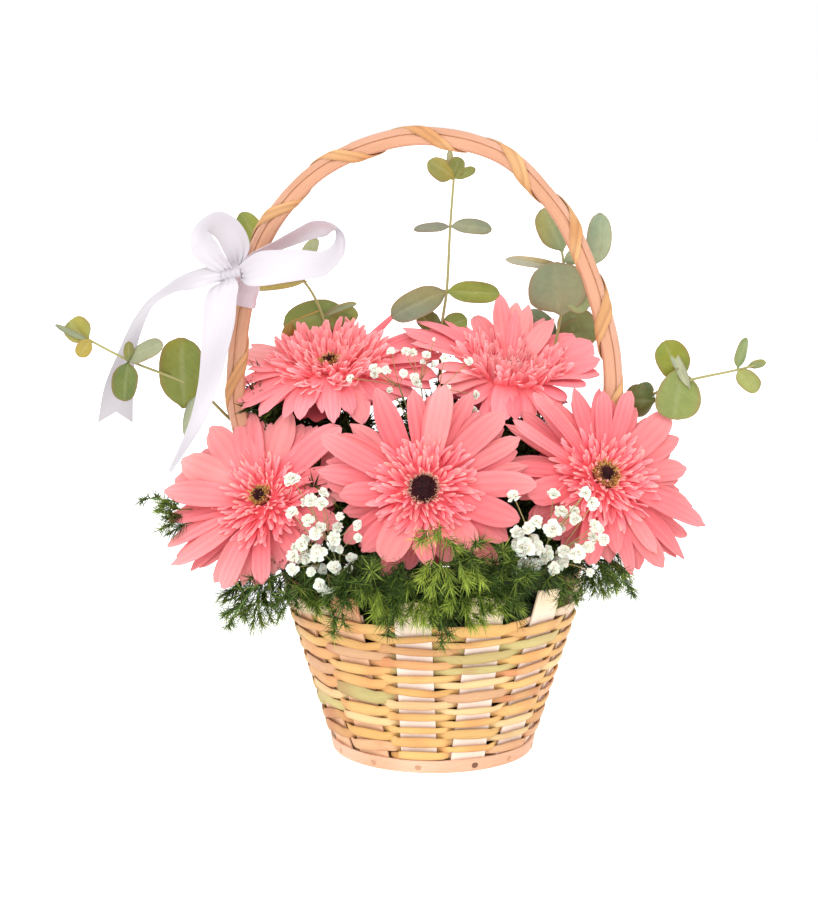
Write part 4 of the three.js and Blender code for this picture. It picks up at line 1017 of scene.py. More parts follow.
def with_back_petals(rows):
    """One more petal at the back in most gaps between neighbours"""
    rows = rows[np.argsort(rows[:, 0])]
    after = np.roll(rows, -1, 0)
    gap = (after[:, 0] - rows[:, 0]) % 360
    middle = rows[:, 0] + gap * (0.5 + 0.12 * np.sin(37 * np.arange(len(rows))))
    reach = 0.47 * (rows[:, 1] + after[:, 1])
    extra = np.stack([middle, reach, np.full(len(rows), BACK_PETAL_WIDTH), np.zeros(len(rows))], -1)
    return np.vstack([extra[(gap > LEAST_GAP) & (gap < GREATEST_GAP)], rows])


def petal_lift(name, angle):
    """Extra rise of the long petals, by where they are round the head"""
    lift = 0 * angle
    for spot, wide, rise in LIFTS.get(name, []):
        lift = lift + rise * bell(((angle - spot + 180) % 360 - 180) / wide)
    return lift


def petals_from_angles(name, rng):
    """Long petals of a head that looks towards the camera"""
    _, face, right, up = head_frame(name)
    rows = with_back_petals(np.array(PETALS[name], float) * (1, 1, 0.93, 1))
    rows = rows[np.argsort(rows[:, 3], kind="stable")]
    turn, reach, width, layer = rows.T
    k, layer = len(rows), layer.astype(int)
    turn = turn + rng.normal(0, 1.5, k)
    depth, start, end = np.array(LAYERS)[layer].T
    outs = round_about(right, up, np.radians(turn))
    lift = petal_lift(name, turn)
    bend = np.stack([start + lift + rng.normal(0, 3, k), end + lift * 0.8 + rng.normal(0, 6, k)], -1)
    # seen from the front, a lifted petal keeps the reach that it has in the picture
    seen = lambda rise: np.linalg.norm(round_about(outs, face, np.radians(rise))[:, [0, 2]], axis=1)
    level = (start + end) / 2
    length = (reach * seen(level) / seen(level + 0.9 * lift) - PETAL_ROOT) * 1.05
    return outs, layer, depth, bend, length, width, np.clip(rng.normal(0.04, 0.1, k), 0, 0.4)


def add_long_petals(skin, name, rng):
    eye, face, _, _ = head_frame(name)
    back = name in TIPS
    rows = petals_from_tips(name) if back else petals_from_angles(name, rng)
    outs, layer, depth, bend, length, width, pale = rows
    k = len(outs)
    roots = eye + outs * PETAL_ROOT + face * (depth + rng.uniform(-0.4, 0.4, k))[:, None]
    grid, t, v, along = blades(
        roots, outs, face, length, width, bend, 16, 11, PETAL_OUTLINE,
        cup=rng.normal(-0.08, 0.16, k), twist=rng.normal(0, 0.06 if back else 0.2, k), ridge=0.36,
        curl=rng.normal(0, 0.02 if back else 0.12, k), point=0.9 * rng.uniform(0, 1, k) ** 2,
    )
    # faintly notched ends and a wavy edge
    notch = 0.6 * np.cos(3.2 * math.pi * v) * ramp(t, 0.86, 1)[:, None]
    notch = np.sign(rng.uniform(-0.7, 1, k))[:, None, None] * notch
    wave = 0.7 * np.sin(6 * t[:, None] + rng.uniform(0, TAU, (k, 1, 1))) * v * np.abs(v)
    grid = grid + along[:, :, None] * notch[..., None] + face * wave[..., None]
    tints = petal_tints(grid.shape, t, v, rng, BACK_LONG_TONES if back else LONG_TONES, pale=pale)
    # painted light and shade: the heads that look upwards are made lighter, and the back layers darker than
    # the front; HEAD_TONES is a head's own paler colour
    shade = (1.05 if back else 0.95) * (0.82 + 0.06 * layer[:, None, None, None]) * HEAD_TONES.get(name, 1)
    thick = 0.75 - 0.4 * ramp(t, 0.7, 1)[:, None] - 0.2 * v**4
    sheets(skin, grid, thick, tints * shade, side_by_side(k, 31, width / 2, v, length, t))


def add_dark_petals(skin, name, rng):
    """Short dark ones behind the others, which close the gaps with painted shade"""
    eye, face, right, up = head_frame(name)
    count, width, depth, radius = 13, 14.0, 11.2, 7
    outs = round_about(right, up, np.arange(count) * TAU / count + rng.normal(0, 0.1, count))
    bend = np.stack([np.full(count, -6.0), rng.normal(-20, 5, count)], -1)
    roots, length = eye + outs * radius - face * depth, rng.uniform(28, 37, count)
    grid, t, v, _ = blades(
        roots, outs, face, length, np.full(count, width), bend, 8, 5, PETAL_OUTLINE, cup=-0.15
    )
    tints = petal_tints(grid.shape, t, v, rng, DARK_TONES)
    sheets(skin, grid, 0.6, tints, side_by_side(count, 31, 6, v, 28, t))


def add_straps(skin, name, rng):
    """The double middle: rings of short straps, more upright and creamier from ring to ring"""
    eye, face, right, up = head_frame(name)
    back = name in TIPS
    for place, (radius, count, length, rise, width) in enumerate(CROWNS[name]):
        inner = place / (len(CROWNS[name]) - 1)
        angle = (np.arange(count) + rng.uniform(0, 1)) * TAU / count + rng.normal(0, 0.07, count)
        outs = round_about(right, up, angle)
        spot = radius + rng.normal(0, 1.0, count)
        depth = -6.2 + MIDDLE_RISES.get(name, 3.0) * (1 - spot / 22)
        tilt = rise + rng.normal(0, 7, count)
        if name == "back_left":
            tilt = tilt + 14 * outs[:, 1] * (1 - 0.6 * inner)
        bend = np.stack([tilt + 4, tilt + (4 if back else -6) + rng.normal(0, 16, count)], -1)
        roots = eye + outs * (spot - 2)[:, None] + face * depth[:, None]
        lengths, widths = length * rng.uniform(0.72, 1.2, count), width * rng.uniform(0.75, 1.2, count)
        grid, t, v, _ = blades(
            roots, outs, face, lengths, widths, bend, 7, 3, STRAP_OUTLINE,
            cup=0.3, twist=rng.normal(0, 0.8, count), curl=rng.normal(0, 0.4, count),
        )
        cream = np.clip(rng.normal(0.02 + 0.5 * inner**2, 0.2, count), 0, 1) * (0.4 if back else 0.75)
        cream = (cream[:, None] * ramp(t, 0.45, 1))[:, :, None]
        tints = petal_tints(grid.shape, t, v, rng, BACK_STRAP_TONES if back else STRAP_TONES, 0.1)
        # painted light: the straps are lifted above their tones, most on the heads that look upwards;
        # back_right's are darker towards its middle
        shade = (1.1 if back else 1.06) * (1 - 0.2 * inner * (name == "back_right"))
        flat = side_by_side(count, 9, width / 2, v, length, t)
        sheets(skin, grid, 0.55, blend(tints, linear("fccbb0"), cream) * shade, flat)


def build_petals(name, seed):
    rng = np.random.default_rng(seed)
    skin = Skin()
    add_long_petals(skin, name, rng)
    add_dark_petals(skin, name, rng)
    add_straps(skin, name, rng)
    # the cushion that they all sit on
    eye, *axes = head_frame(name)
    middle = [(16, -5.6), (9, -5.6), (5, -5.4)] if name in TIPS else [(16, -5), (9, -3.4), (5, -3)]
    cushion = [(4, -13.2), (7, -12.6), (12, -10.2), (19, -8), (20.5, -6.6), *middle]
    add_turned(skin, eye, axes, cushion, 28, linear("e2505a"), 10)
    piece(skin, f"gerbera_{name}_petals_look", petal_finish, "petal", f"gerbera_{name}_petals")


def build_eye(name, seed):
    rng = np.random.default_rng(seed)
    eye, *axes = head_frame(name)
    face, right, up = axes
    dark, ring, *stamen_tones = EYES[name]
    skin = Skin()
    base = [(1, -3.3), (ring, -2.6), (ring * 0.96, -0.6), (dark, 0.2), (dark * 0.5, 0.9), (0.8, 1.0)]
    tones = np.stack([linear(code) for code in [EYE_DARK] * 2 + [EYE_RIM] + [EYE_DARK] * 3])
    add_turned(skin, eye, axes, base, 24, tones[None, :, None], 5)
    # dark florets
    count = int(dark * dark * 2.2) + 8
    i = np.arange(count)
    share = np.sqrt((i + 0.5) / count)[:, None]
    outs = round_about(right, up, i * GOLDEN_ANGLE)
    foot = eye + outs * dark * share + face * (0.4 - 0.3 * share)
    aim = unit(face + outs * (0.25 + 0.7 * share) + 0.3 * rng.normal(0, 1, (count, 3)))
    height = rng.uniform(1.2, 2.8, count)[:, None, None] * np.array([0, 0.5, 1.0])[:, None]
    tones = blend(linear("2c070d"), linear("571b24"), rng.uniform(0, 1, count))[:, None]
    tubes(skin, foot[:, None] + aim[:, None] * height, [0.5, 0.42, 0.2], 5, tones, tip=0.2)
    # fine stamens round them
    count = int(ring * 20)
    spot = rng.uniform(dark * 0.95, ring, count)[:, None]
    outs = round_about(right, up, rng.uniform(0, TAU, count))
    foot = eye + outs * spot - face * 0.7
    aim = face * 0.9 + outs * rng.uniform(-0.1, 0.9, count)[:, None]
    aim = unit(aim + 0.35 * rng.normal(0, 1, (count, 3)))
    height = rng.uniform(1.4, 2.9, count)[:, None, None] * np.array([0, 0.4, 0.75, 1.0])[:, None]
    path = foot[:, None] + aim[:, None] * height + outs[:, None] * np.array([0, 0.05, 0.15, 0.35])[:, None]
    tones = blend(*map(linear, stamen_tones), rng.uniform(0, 0.6, count))[:, None]
    tubes(skin, path, [0.22, 0.19, 0.22, 0.13], 4, tones * np.array([0.6, 0.8, 1, 1.1])[:, None], tip=0.15)
    piece(skin, f"gerbera_{name}_eye_look", eye_finish, "eye", f"gerbera_{name}_eye")


def rooted(entry, towards):
    """Where a stem stands in the foam: below its top, at it, and twice above it on one line"""
    surface = np.array([*entry, FOAM_EDGE + FOAM_DOME * (1 - math.hypot(*entry) / FOAM_RADIUS)])
    up = unit(np.asarray(towards, float) - surface)
    up = unit([up[0], up[1], max(up[2], 1.3)])
    return [surface + up * d for d in (-34, 0, 5, 10)]


def build_stem(name):
    eye, *axes = head_frame(name)
    face = axes[0]
    neck = eye - face * NECK_DEPTH
    shoulder = neck - face * 15 - Z * 8
    n, sides = 40, 12
    path = spaced([*rooted(HEADS[name][2], shoulder), shoulder, neck - face * 3], n)
    angle = np.arange(sides) * TAU / sides
    _, a, b = (x[0][:, None] for x in frames_along(path[None]))
    ring = round_about(a, b, angle) * (STEM_RADIUS * (1 + 0.06 * np.cos(3 * angle)))[:, None]
    tones = blend(linear("6f9440"), linear("8aa855"), np.linspace(0, 1, n))
    skin = Skin()
    uvs = pairs(angle * 3, np.arange(n)[:, None] * 3)
    lofts(skin, (path[:, None] + ring)[None], tones[None, :, None], uvs[None])
    calyx = [(2.4, -9), (3.6, -8), (5.6, -4), (6.1, -1.2), (5.6, -0.2)]
    add_turned(skin, neck, axes, calyx, 20, linear("5d8038"), 6, 2, flute=0.05)
    piece(skin, f"gerbera_{name}_stem_look", green, "flower_stem", f"gerbera_{name}_stem")


# eucalyptus: where the stem enters the foam, the stem, and leaves as (root, tip, width, tint)
EUCALYPTUS = {
    "far_left": (
        (-50, 6),
        [(-82, 14, 152), (-119, 8, 193), (-136, -8, 212), (-172, -18, 229), (-194, -20, 241)],
        [
            ((-193, -20, 241), (-205, -20, 251), 15, "a3ab62"),
            ((-194, -22, 241), (-212, -22, 249), 4, "97a086"),
            ((-192, -22, 241), (-201, -24, 234), 9, "b9a34a"),
            ((-172, -22, 229), (-170, -22, 240), 6, "7b8350"),
            ((-172, -20, 228), (-176, -24, 207), 15, "74823c"),
            ((-172, -20, 229), (-151, -27, 240), 12, "a0a68e"),
            ((-142, -6, 200), (-142, -16, 241), 27, "7f8c36"),
            ((-134, -8, 210), (-147, -12, 184), 7, "b2b6a2"),
        ],
    ),
    "back_left": (
        (-30, 38),
        [(-50, 48, 180), (-62, 46, 236), (-68, 44, 255), (-76, 42, 268), (-100, 38, 288)],
        [
            ((-74, 40, 268), (-106, 38, 263), 5, "b2ab74"), ((-48, 52, 246), (-87, 42, 252), 21, "98a04a"),
            ((-83, 40, 244), (-86, 37, 232), 7, "b08a3c"), ((-64, 46, 247), (-47, 44, 258), 4, "9aa58a"),
            ((-100, 38, 288), (-111, 33, 308), 15, "a2ac4e"),
            ((-76, 42, 268), (-69, 42, 293), 13, "b2b894"), ((-62, 46, 236), (-44, 52, 250), 12, "8b9850"),
        ],
    ),
    "centre": (
        (3, 40),
        [(4, 44, 160), (5, 42, 238), (8, 38, 262), (10, 36, 301), (12, 38, 328)],
        [
            ((12, 38, 327), (-2, 35, 339), 15, "a09e58"), ((12, 39, 327), (14, 38, 340), 10, "9a9a4a"),
            ((12, 38, 327), (24, 36, 334), 6, "939a52"), ((11, 40, 327), (8, 44, 345), 4, "a9ab90"),
            ((10, 36, 301), (33, 30, 304), 9, "a2a58e"), ((10, 36, 301), (-11, 34, 299), 6, "8f9088"),
            ((8, 38, 262), (-25, 33, 250), 17, "8a9180"), ((8, 38, 262), (38, 31, 264), 13, "9aa344"),
            ((5, 42, 240), (20, 42, 245), 12, "7f8c38"), ((5, 42, 240), (-10, 46, 246), 12, "7f8a50"),
        ],
    ),
    "back_right": (
        (34, 38),
        [(58, 42, 170), (73, 40, 236), (76, 30, 266), (75, 30, 284), (71, 32, 298)],
        [
            ((75, 30, 286), (65, 25, 311), 18, "9aa684"), ((93, 30, 278), (103, 28, 307), 15, "b4bea4"),
            ((76, 30, 281), (90, 29, 286), 9, "b0baa0"), ((76, 29, 277), (43, 27, 285), 6, "b9b8b0"),
            ((74, 33, 249), (69, 22, 280), 34, "aaae90"), ((92, 62, 223), (81, 58, 248), 24, "878c5c"),
            ((74, 60, 230), (98, 58, 238), 18, "7c8450"), ((74, 62, 232), (57, 68, 249), 13, "7a8868"),
            ((76, 30, 266), (92, 28, 256), 17, "a0aa80"),
        ],
    ),
    "far_right": (
        (53, 10),
        [(84, 20, 150), (121, 14, 200), (139, 5, 212), (174, 1, 221), (190, 2, 225)],
        [
            ((143, 6, 214), (131, 2, 236), 19, "84952f"), ((147, 3, 210), (136, 1, 234), 6, "bcc0aa"),
            ((141, 5, 222), (136, -1, 193), 27, "93a05a"), ((128, 9, 202), (110, 8, 201), 19, "5c6a2c"),
            ((174, 1, 222), (176, -2, 240), 8, "96a66e"), ((174, 1, 221), (184, -4, 209), 11, "aab06c"),
            ((180, 2, 223), (190, 2, 225), 5, "8d9a6c"), ((125, 10, 203), (119, 12, 211), 10, "66763a"),
        ],
    ),
}
LEAF_OUTLINE = [
    (0, 0.06), (0.04, 0.12), (0.1, 0.42), (0.2, 0.74), (0.34, 0.95), (0.5, 1), (0.66, 0.98), (0.8, 0.88),
    (0.9, 0.7), (0.96, 0.47), (1, 0.12),
]
LEAF_SHADE = (0.75, 0.755, 0.6)
PATCH_SHADES = ((1.3, 1.04, 0.65), (0.72, 0.8, 0.85), (1.12, 1.1, 1.08))
RIM_BROWN, RIB_GREEN, VEIN_GREEN = "9a6a48", "c6c39a", "bcbf92"
leaf_finish = material(
    "eucalyptus", (0.25, 0.25), 0.12, 0.1, 0.5, fine=(1.6, 1.6, 0.35),
    Specular_IOR_Level=0.35, Sheen_Weight=0.1,
)


def add_leaf(skin, root, tip, width, tint, i, rng):
    """A leaf with patches of a second green, a brownish rim and a pale midrib with faint side veins"""
    length, out = np.linalg.norm(tip - root), unit(tip - root)
    face = square_to(np.array([rng.normal(0, 0.25), -0.93, rng.normal(0.2, 0.15)]), out)
    grid, t, v, _ = blades(
        root[None], out[None], face, np.array([length * 1.02]), np.array([float(width)]),
        np.array([[rng.uniform(6, 22), rng.uniform(-30, -8)]]), 18, 11, LEAF_OUTLINE,
        cup=rng.normal(0.05, 0.22), twist=rng.normal(0, 0.3), curl=rng.normal(0, 0.2),
    )
    t = t[:, None]
    ripple = 0.06 * width * np.sin(5 * t + rng.uniform(0, TAU)) * np.abs(v) ** 2.5 * np.sign(v)
    crease = -0.045 * width * bell(v / 0.14) * np.sin(math.pi * t)
    grid = grid + face * (ripple + crease)[..., None]
    base = linear(tint) * LEAF_SHADE
    patches = 0.5 + 0.5 * np.sin(3.1 * t + 1.7 * v + rng.uniform(0, TAU))
    tints = blend(base, base * PATCH_SHADES[i % 3], patches)
    rim = np.clip(np.abs(v) ** 12 + ramp(t, 0.95, 1) ** 2, 0, 1)
    rib = bell(v / 0.07) * np.sin(math.pi * t) ** 0.4
    veins = np.abs(np.sin(22 * (t - 0.34 * np.abs(v)) + rng.uniform(0, 3))) ** 14
    for code, share in ((RIM_BROWN, 0.5 * rim), (RIB_GREEN, 0.17 * rib), (VEIN_GREEN, 0.06 * veins)):
        tints = blend(tints, linear(code), share)
    sheets(skin, grid, 0.65 - 0.3 * v**4, tints[None], pairs(v * width / 2 + 40 * i, t * length)[None])


def build_eucalyptus(name, seed):
    rng = np.random.default_rng(seed)
    entry, stem, leaves = EUCALYPTUS[name]
    skin = Skin()
    n = 70
    s = np.linspace(0, 1, n)
    path = spaced([*rooted(entry, stem[0]), *stem], n)
    tubes(skin, path, 1.3 - 0.6 * s, 8, blend(linear("76703f"), linear("a9a268"), s**0.7)[None])
    for i, (root, tip, width, tint) in enumerate(leaves):
        root, tip = np.array(root, float), np.array(tip, float)
        node = path[np.argmin(np.linalg.norm(path - root, axis=1))]
        if np.linalg.norm(node - root) > 1:
            tubes(skin, np.linspace(node, root, 5), 0.45, 5, linear(tint))
        else:
            root = node
        add_leaf(skin, root, tip, width, tint, i, rng)
    piece(skin, f"eucalyptus_{name}_look", leaf_finish, "eucalyptus", f"eucalyptus_{name}")


# gypsophila: where the stem enters the foam, its fork, the florets' y, and florets as (x, z, radius)
GYPSOPHILA = {
    "left": (
        (-34, -42),
        (-50, -62, 110),
        -74,
        [
            (-78, 170, 4), (-68, 159, 3), (-62, 158, 3), (-78, 153, 3), (-69, 148, 3), (-52, 150, 2),
            (-65, 141, 3), (-55, 138, 3), (-64, 130, 4), (-78, 128, 3), (-78, 121, 3), (-73, 135, 3),
            (-71, 126, 3), (-52, 131, 2), (-55, 122, 3), (-47, 121, 2), (-42, 139, 2), (-63, 112, 3),
            (-58, 107, 3), (-68, 119, 2),
        ],
    ),
    "right": (
        (37.5, -42),
        (55, -62, 110),
        -76,
        [
            (43, 162, 3), (82, 164, 3), (86, 158, 3), (65, 162, 3), (69, 153, 3), (77, 149, 3),
            (55, 149, 3), (64, 145, 4), (51, 146, 3), (45, 142, 3), (48, 134, 5), (55, 134, 4),
            (61, 128, 4), (71, 131, 3), (55, 123, 3), (65, 122, 3), (70, 123, 3), (84, 134, 3),
            (92, 139, 3), (78, 131, 4), (87, 146, 3), (85, 120, 2), (49, 123, 3),
        ],
    ),
    "middle": (
        (-2, -8),
        (-5, -14, 176),
        -26,
        [
            (-24, 235, 3), (-16, 235, 3), (-12, 234, 3), (-34, 226, 3), (-31, 225, 2), (-27, 225, 3),
            (-34, 222, 3), (-4, 233, 3), (-6, 229, 2), (0, 227, 2), (6, 232, 3), (20, 229, 3),
            (-17, 223, 3), (-11, 221, 3), (-10, 218, 3), (-8, 216, 2), (8, 215, 2), (-25, 213, 2),
            (24, 210, 3), (23, 202, 2), (-47, 220, 3), (0, 242, 1),
        ],
    ),
}
# rings of a floret: how many petals, their rise in degrees, and their share of its radius
WHORLS = [(9, 5, 1.0), (8, 30, 0.92), (7, 55, 0.8), (5, 78, 0.66)]
FLORET_OUTLINE = [(0, 0.15), (0.45, 0.75), (0.8, 1), (1, 0.72)]
FLORET_CUP = [(0.3, -2.0), (0.7, -1.4), (0.85, -0.4)]  # radii are for a floret of the radius below
CUP_FLORET = 3.4
floret_finish = material(
    "floret", (0.8, 0.8), 0.05, 0.08, 0.7,
    Subsurface_Weight=0.3, Subsurface_Scale=0.002, Specular_IOR_Level=0.2,
)


def floret_places(name, rng):
    """Tips and radii of the florets; behind those of a cloud, more fill it, a little smaller"""
    _, _, y, florets = GYPSOPHILA[name]
    cloud = name != "middle"
    x, z, radii = np.array(florets, float).T
    depth = y + rng.uniform(-5, 5, len(x)) + (5 * np.abs(z - 140) / 30 if cloud else 0)
    tips, radii = np.stack([x, depth, z], -1), radii * (1.25 if cloud else 0.85)
    if not cloud:
        return tips, radii
    more = 16
    shown = tips[rng.integers(0, len(tips), more)]
    away = np.stack([rng.normal(0, 4, more), rng.uniform(5, 13, more), rng.normal(0, 4, more)], -1)
    return np.vstack([tips, shown + away]), np.append(radii, np.full(more, 3.0))


def add_floret(skin, centre, up, radius, rng):
    """A small ruffled double flower: whorls of crumpled petals, upright in the middle"""
    axes = facing(up)
    face, right, across = axes
    for ring, (count, rise, size) in enumerate(WHORLS):
        angle = (np.arange(count) + rng.uniform(0, 1)) * TAU / count + rng.normal(0, 0.22, count)
        outs = round_about(right, across, angle)
        length = radius * size * rng.uniform(0.8, 1.1, count)
        bend = np.stack([rise + 10 + rng.normal(0, 14, count), rise - 20 + rng.normal(0, 22, count)], -1)
        grid, t, _, along = blades(
            centre + outs * 0.2 + face * (0.25 * ring - 0.6), outs, face, length,
            rng.uniform(0.85, 1.2, count) * length, bend, 4, 3, FLORET_OUTLINE,
            cup=rng.normal(0.1, 0.45, count), twist=rng.normal(0, 0.5, count),
            curl=rng.normal(0, 0.25, count),
        )
        frill = 0.1 * radius * np.array([-0.9, 0.5, -0.9]) * ramp(t, 0.6, 1)[:, None]
        grid = grid + along[:, :, None] * frill[..., None] * rng.uniform(0.3, 1.6, (count, 1, 1, 1))
        tone = 1.08 * blend(linear("e9dcb8"), linear("fffaec"), ramp(t, 0, 0.5))[:, None]
        sheets(skin, grid, 0.2, tone * rng.uniform(0.94, 1.03, (count, 1, 1, 1)), (0.0, 0.0))
    cup = [(r * radius / CUP_FLORET, z) for r, z in FLORET_CUP]
    add_turned(skin, centre, axes, cup, 7, linear("8da05e"), 0, 0)


def build_gypsophila(name, seed):
    rng = np.random.default_rng(seed)
    entry, fork, _, _ = GYPSOPHILA[name]
    fork, cloud = np.array(fork, float), name != "middle"
    skin = Skin()
    tubes(skin, spaced([*rooted(entry, fork), fork], 24), 0.75, 6, linear("7f8f52"))
    tips, radii = floret_places(name, rng)
    wide, _, high = tips.std(0)
    aims = tips.mean(0) + Y * 4 + round_about(X * wide, Z * high, (np.arange(6) + 0.4) * TAU / 6)
    arms = fork + (aims - fork) * (0.6 if cloud else 0.72)
    for arm in arms:
        half_way = (fork + arm) / 2 + rng.normal(0, 1, 3)
        tubes(skin, spaced([fork, half_way, arm], 10), 0.42, 5, linear("8b9560"))
    starts = arms[np.linalg.norm(arms - tips[:, None], axis=-1).argmin(1)]
    mids = ((starts + tips) / 2 + rng.normal(0, 1.2, tips.shape))[:, None]
    s = np.linspace(0, 1, 7)[:, None]
    paths = starts[:, None] * (1 - s) ** 2 + 2 * mids * s * (1 - s) + tips[:, None] * s**2
    tubes(skin, paths, 0.25, 4, linear("a3a070" if cloud else "b0946c"))
    for tip, start, radius in zip(tips, starts, radii):
        up = unit(tip - start + np.array([0, -14, 4]) + rng.normal(0, 5, 3))
        add_floret(skin, tip, up, radius, rng)
    piece(skin, f"gypsophila_{name}_look", floret_finish, "floret", f"gypsophila_{name}")


# asparagus fern: way round in degrees, how much higher than its route, and the route as (radius, z)
HANGING = [(70, 106), (81, 116), (92, 113)]
RISING = [(70, 108), (84, 126)]
LEVEL = [(70, 107), (84, 118)]
FERNS = [
    ("left_1", -175, 3, [(80, 119), (122, 139), (162, 146)]),
    ("left_2", -151, 0, [*HANGING, (112, 108), (127, 92)]),
    ("left_3", -136, 0, [*LEVEL, (112, 103)]),
    ("front_1", -120, 0, [*HANGING, (107, 96)]),
    ("front_2", -104, -3, [*HANGING, (101, 101)]),
    ("front_3", -88, 0, [*HANGING, (101, 93)]),
    ("front_4", -78, -3, [*RISING, (101, 143)]),
    ("front_5", -64, 0, [*RISING, (107, 125)]),
    ("right_1", -49, 0, [*LEVEL, (113, 110)]),
    ("right_2", -28, 0, [*LEVEL, (106, 118), (121, 108)]),
    ("back_1", 68, 0, [*LEVEL, (104, 118)]),
    ("back_2", 116, 0, [*LEVEL, (104, 114)]),
]
FERN_ENTRY = 54  # radius at which the fronds enter the foam
NEEDLE_RADIUS = 0.21
# tips of the dark sprays that stand up between the heads as painted shade, by frond; each has two more tips
# beside it
FILLS = {
    "back_2": [
        (-99, 6, 207), (-94, 4, 201), (-99, 10, 215), (-85, 6, 188), (-78, 0, 185), (-91, 0, 193),
        (-71, -8, 182), (-55, 0, 187), (-51, 4, 197), (-46, -10, 184), (-59, -10, 179), (-24, 4, 189),
        (-19, -6, 184), (-28, -6, 183), (-40, 0, 189), (-106, 14, 200), (-92, 14, 187), (-83, 12, 196),
        (-77, 12, 183), (-69, 12, 190), (-88, 12, 203), (-75, 12, 198), (-98, 12, 193), (-61, 12, 196),
        (-51, 14, 198),
    ],
    "back_1": [
        (30, 6, 186), (39, 8, 188), (45, 4, 184), (50, 10, 190), (56, 2, 182), (41, -6, 179), (51, -6, 174),
        (32, -2, 181), (62, 8, 186), (21, 14, 193), (67, -14, 165), (63, -20, 155), (59, -26, 148),
        (39, 16, 181), (50, 16, 185), (27, 16, 187), (62, 16, 177), (-14, 14, 190), (-18, 14, 198),
        (2, 16, 208), (14, 14, 200), (46, 20, 194), (60, 20, 194),
    ],
    "left_3": [
        (-63, -30, 168), (-66, -30, 157), (-60, -34, 149), (-55, -40, 142), (-65, -44, 137),
        (-51, -46, 129), (-58, -50, 124), (-48, -24, 173),
    ],
    "right_1": [
        (53, -30, 151), (48, -36, 141), (55, -40, 133), (63, -34, 143), (71, -40, 130), (64, -46, 123),
        (79, -40, 122),
    ],
}
BESIDE = ((0, 0), (4, -5), (-5, -9))
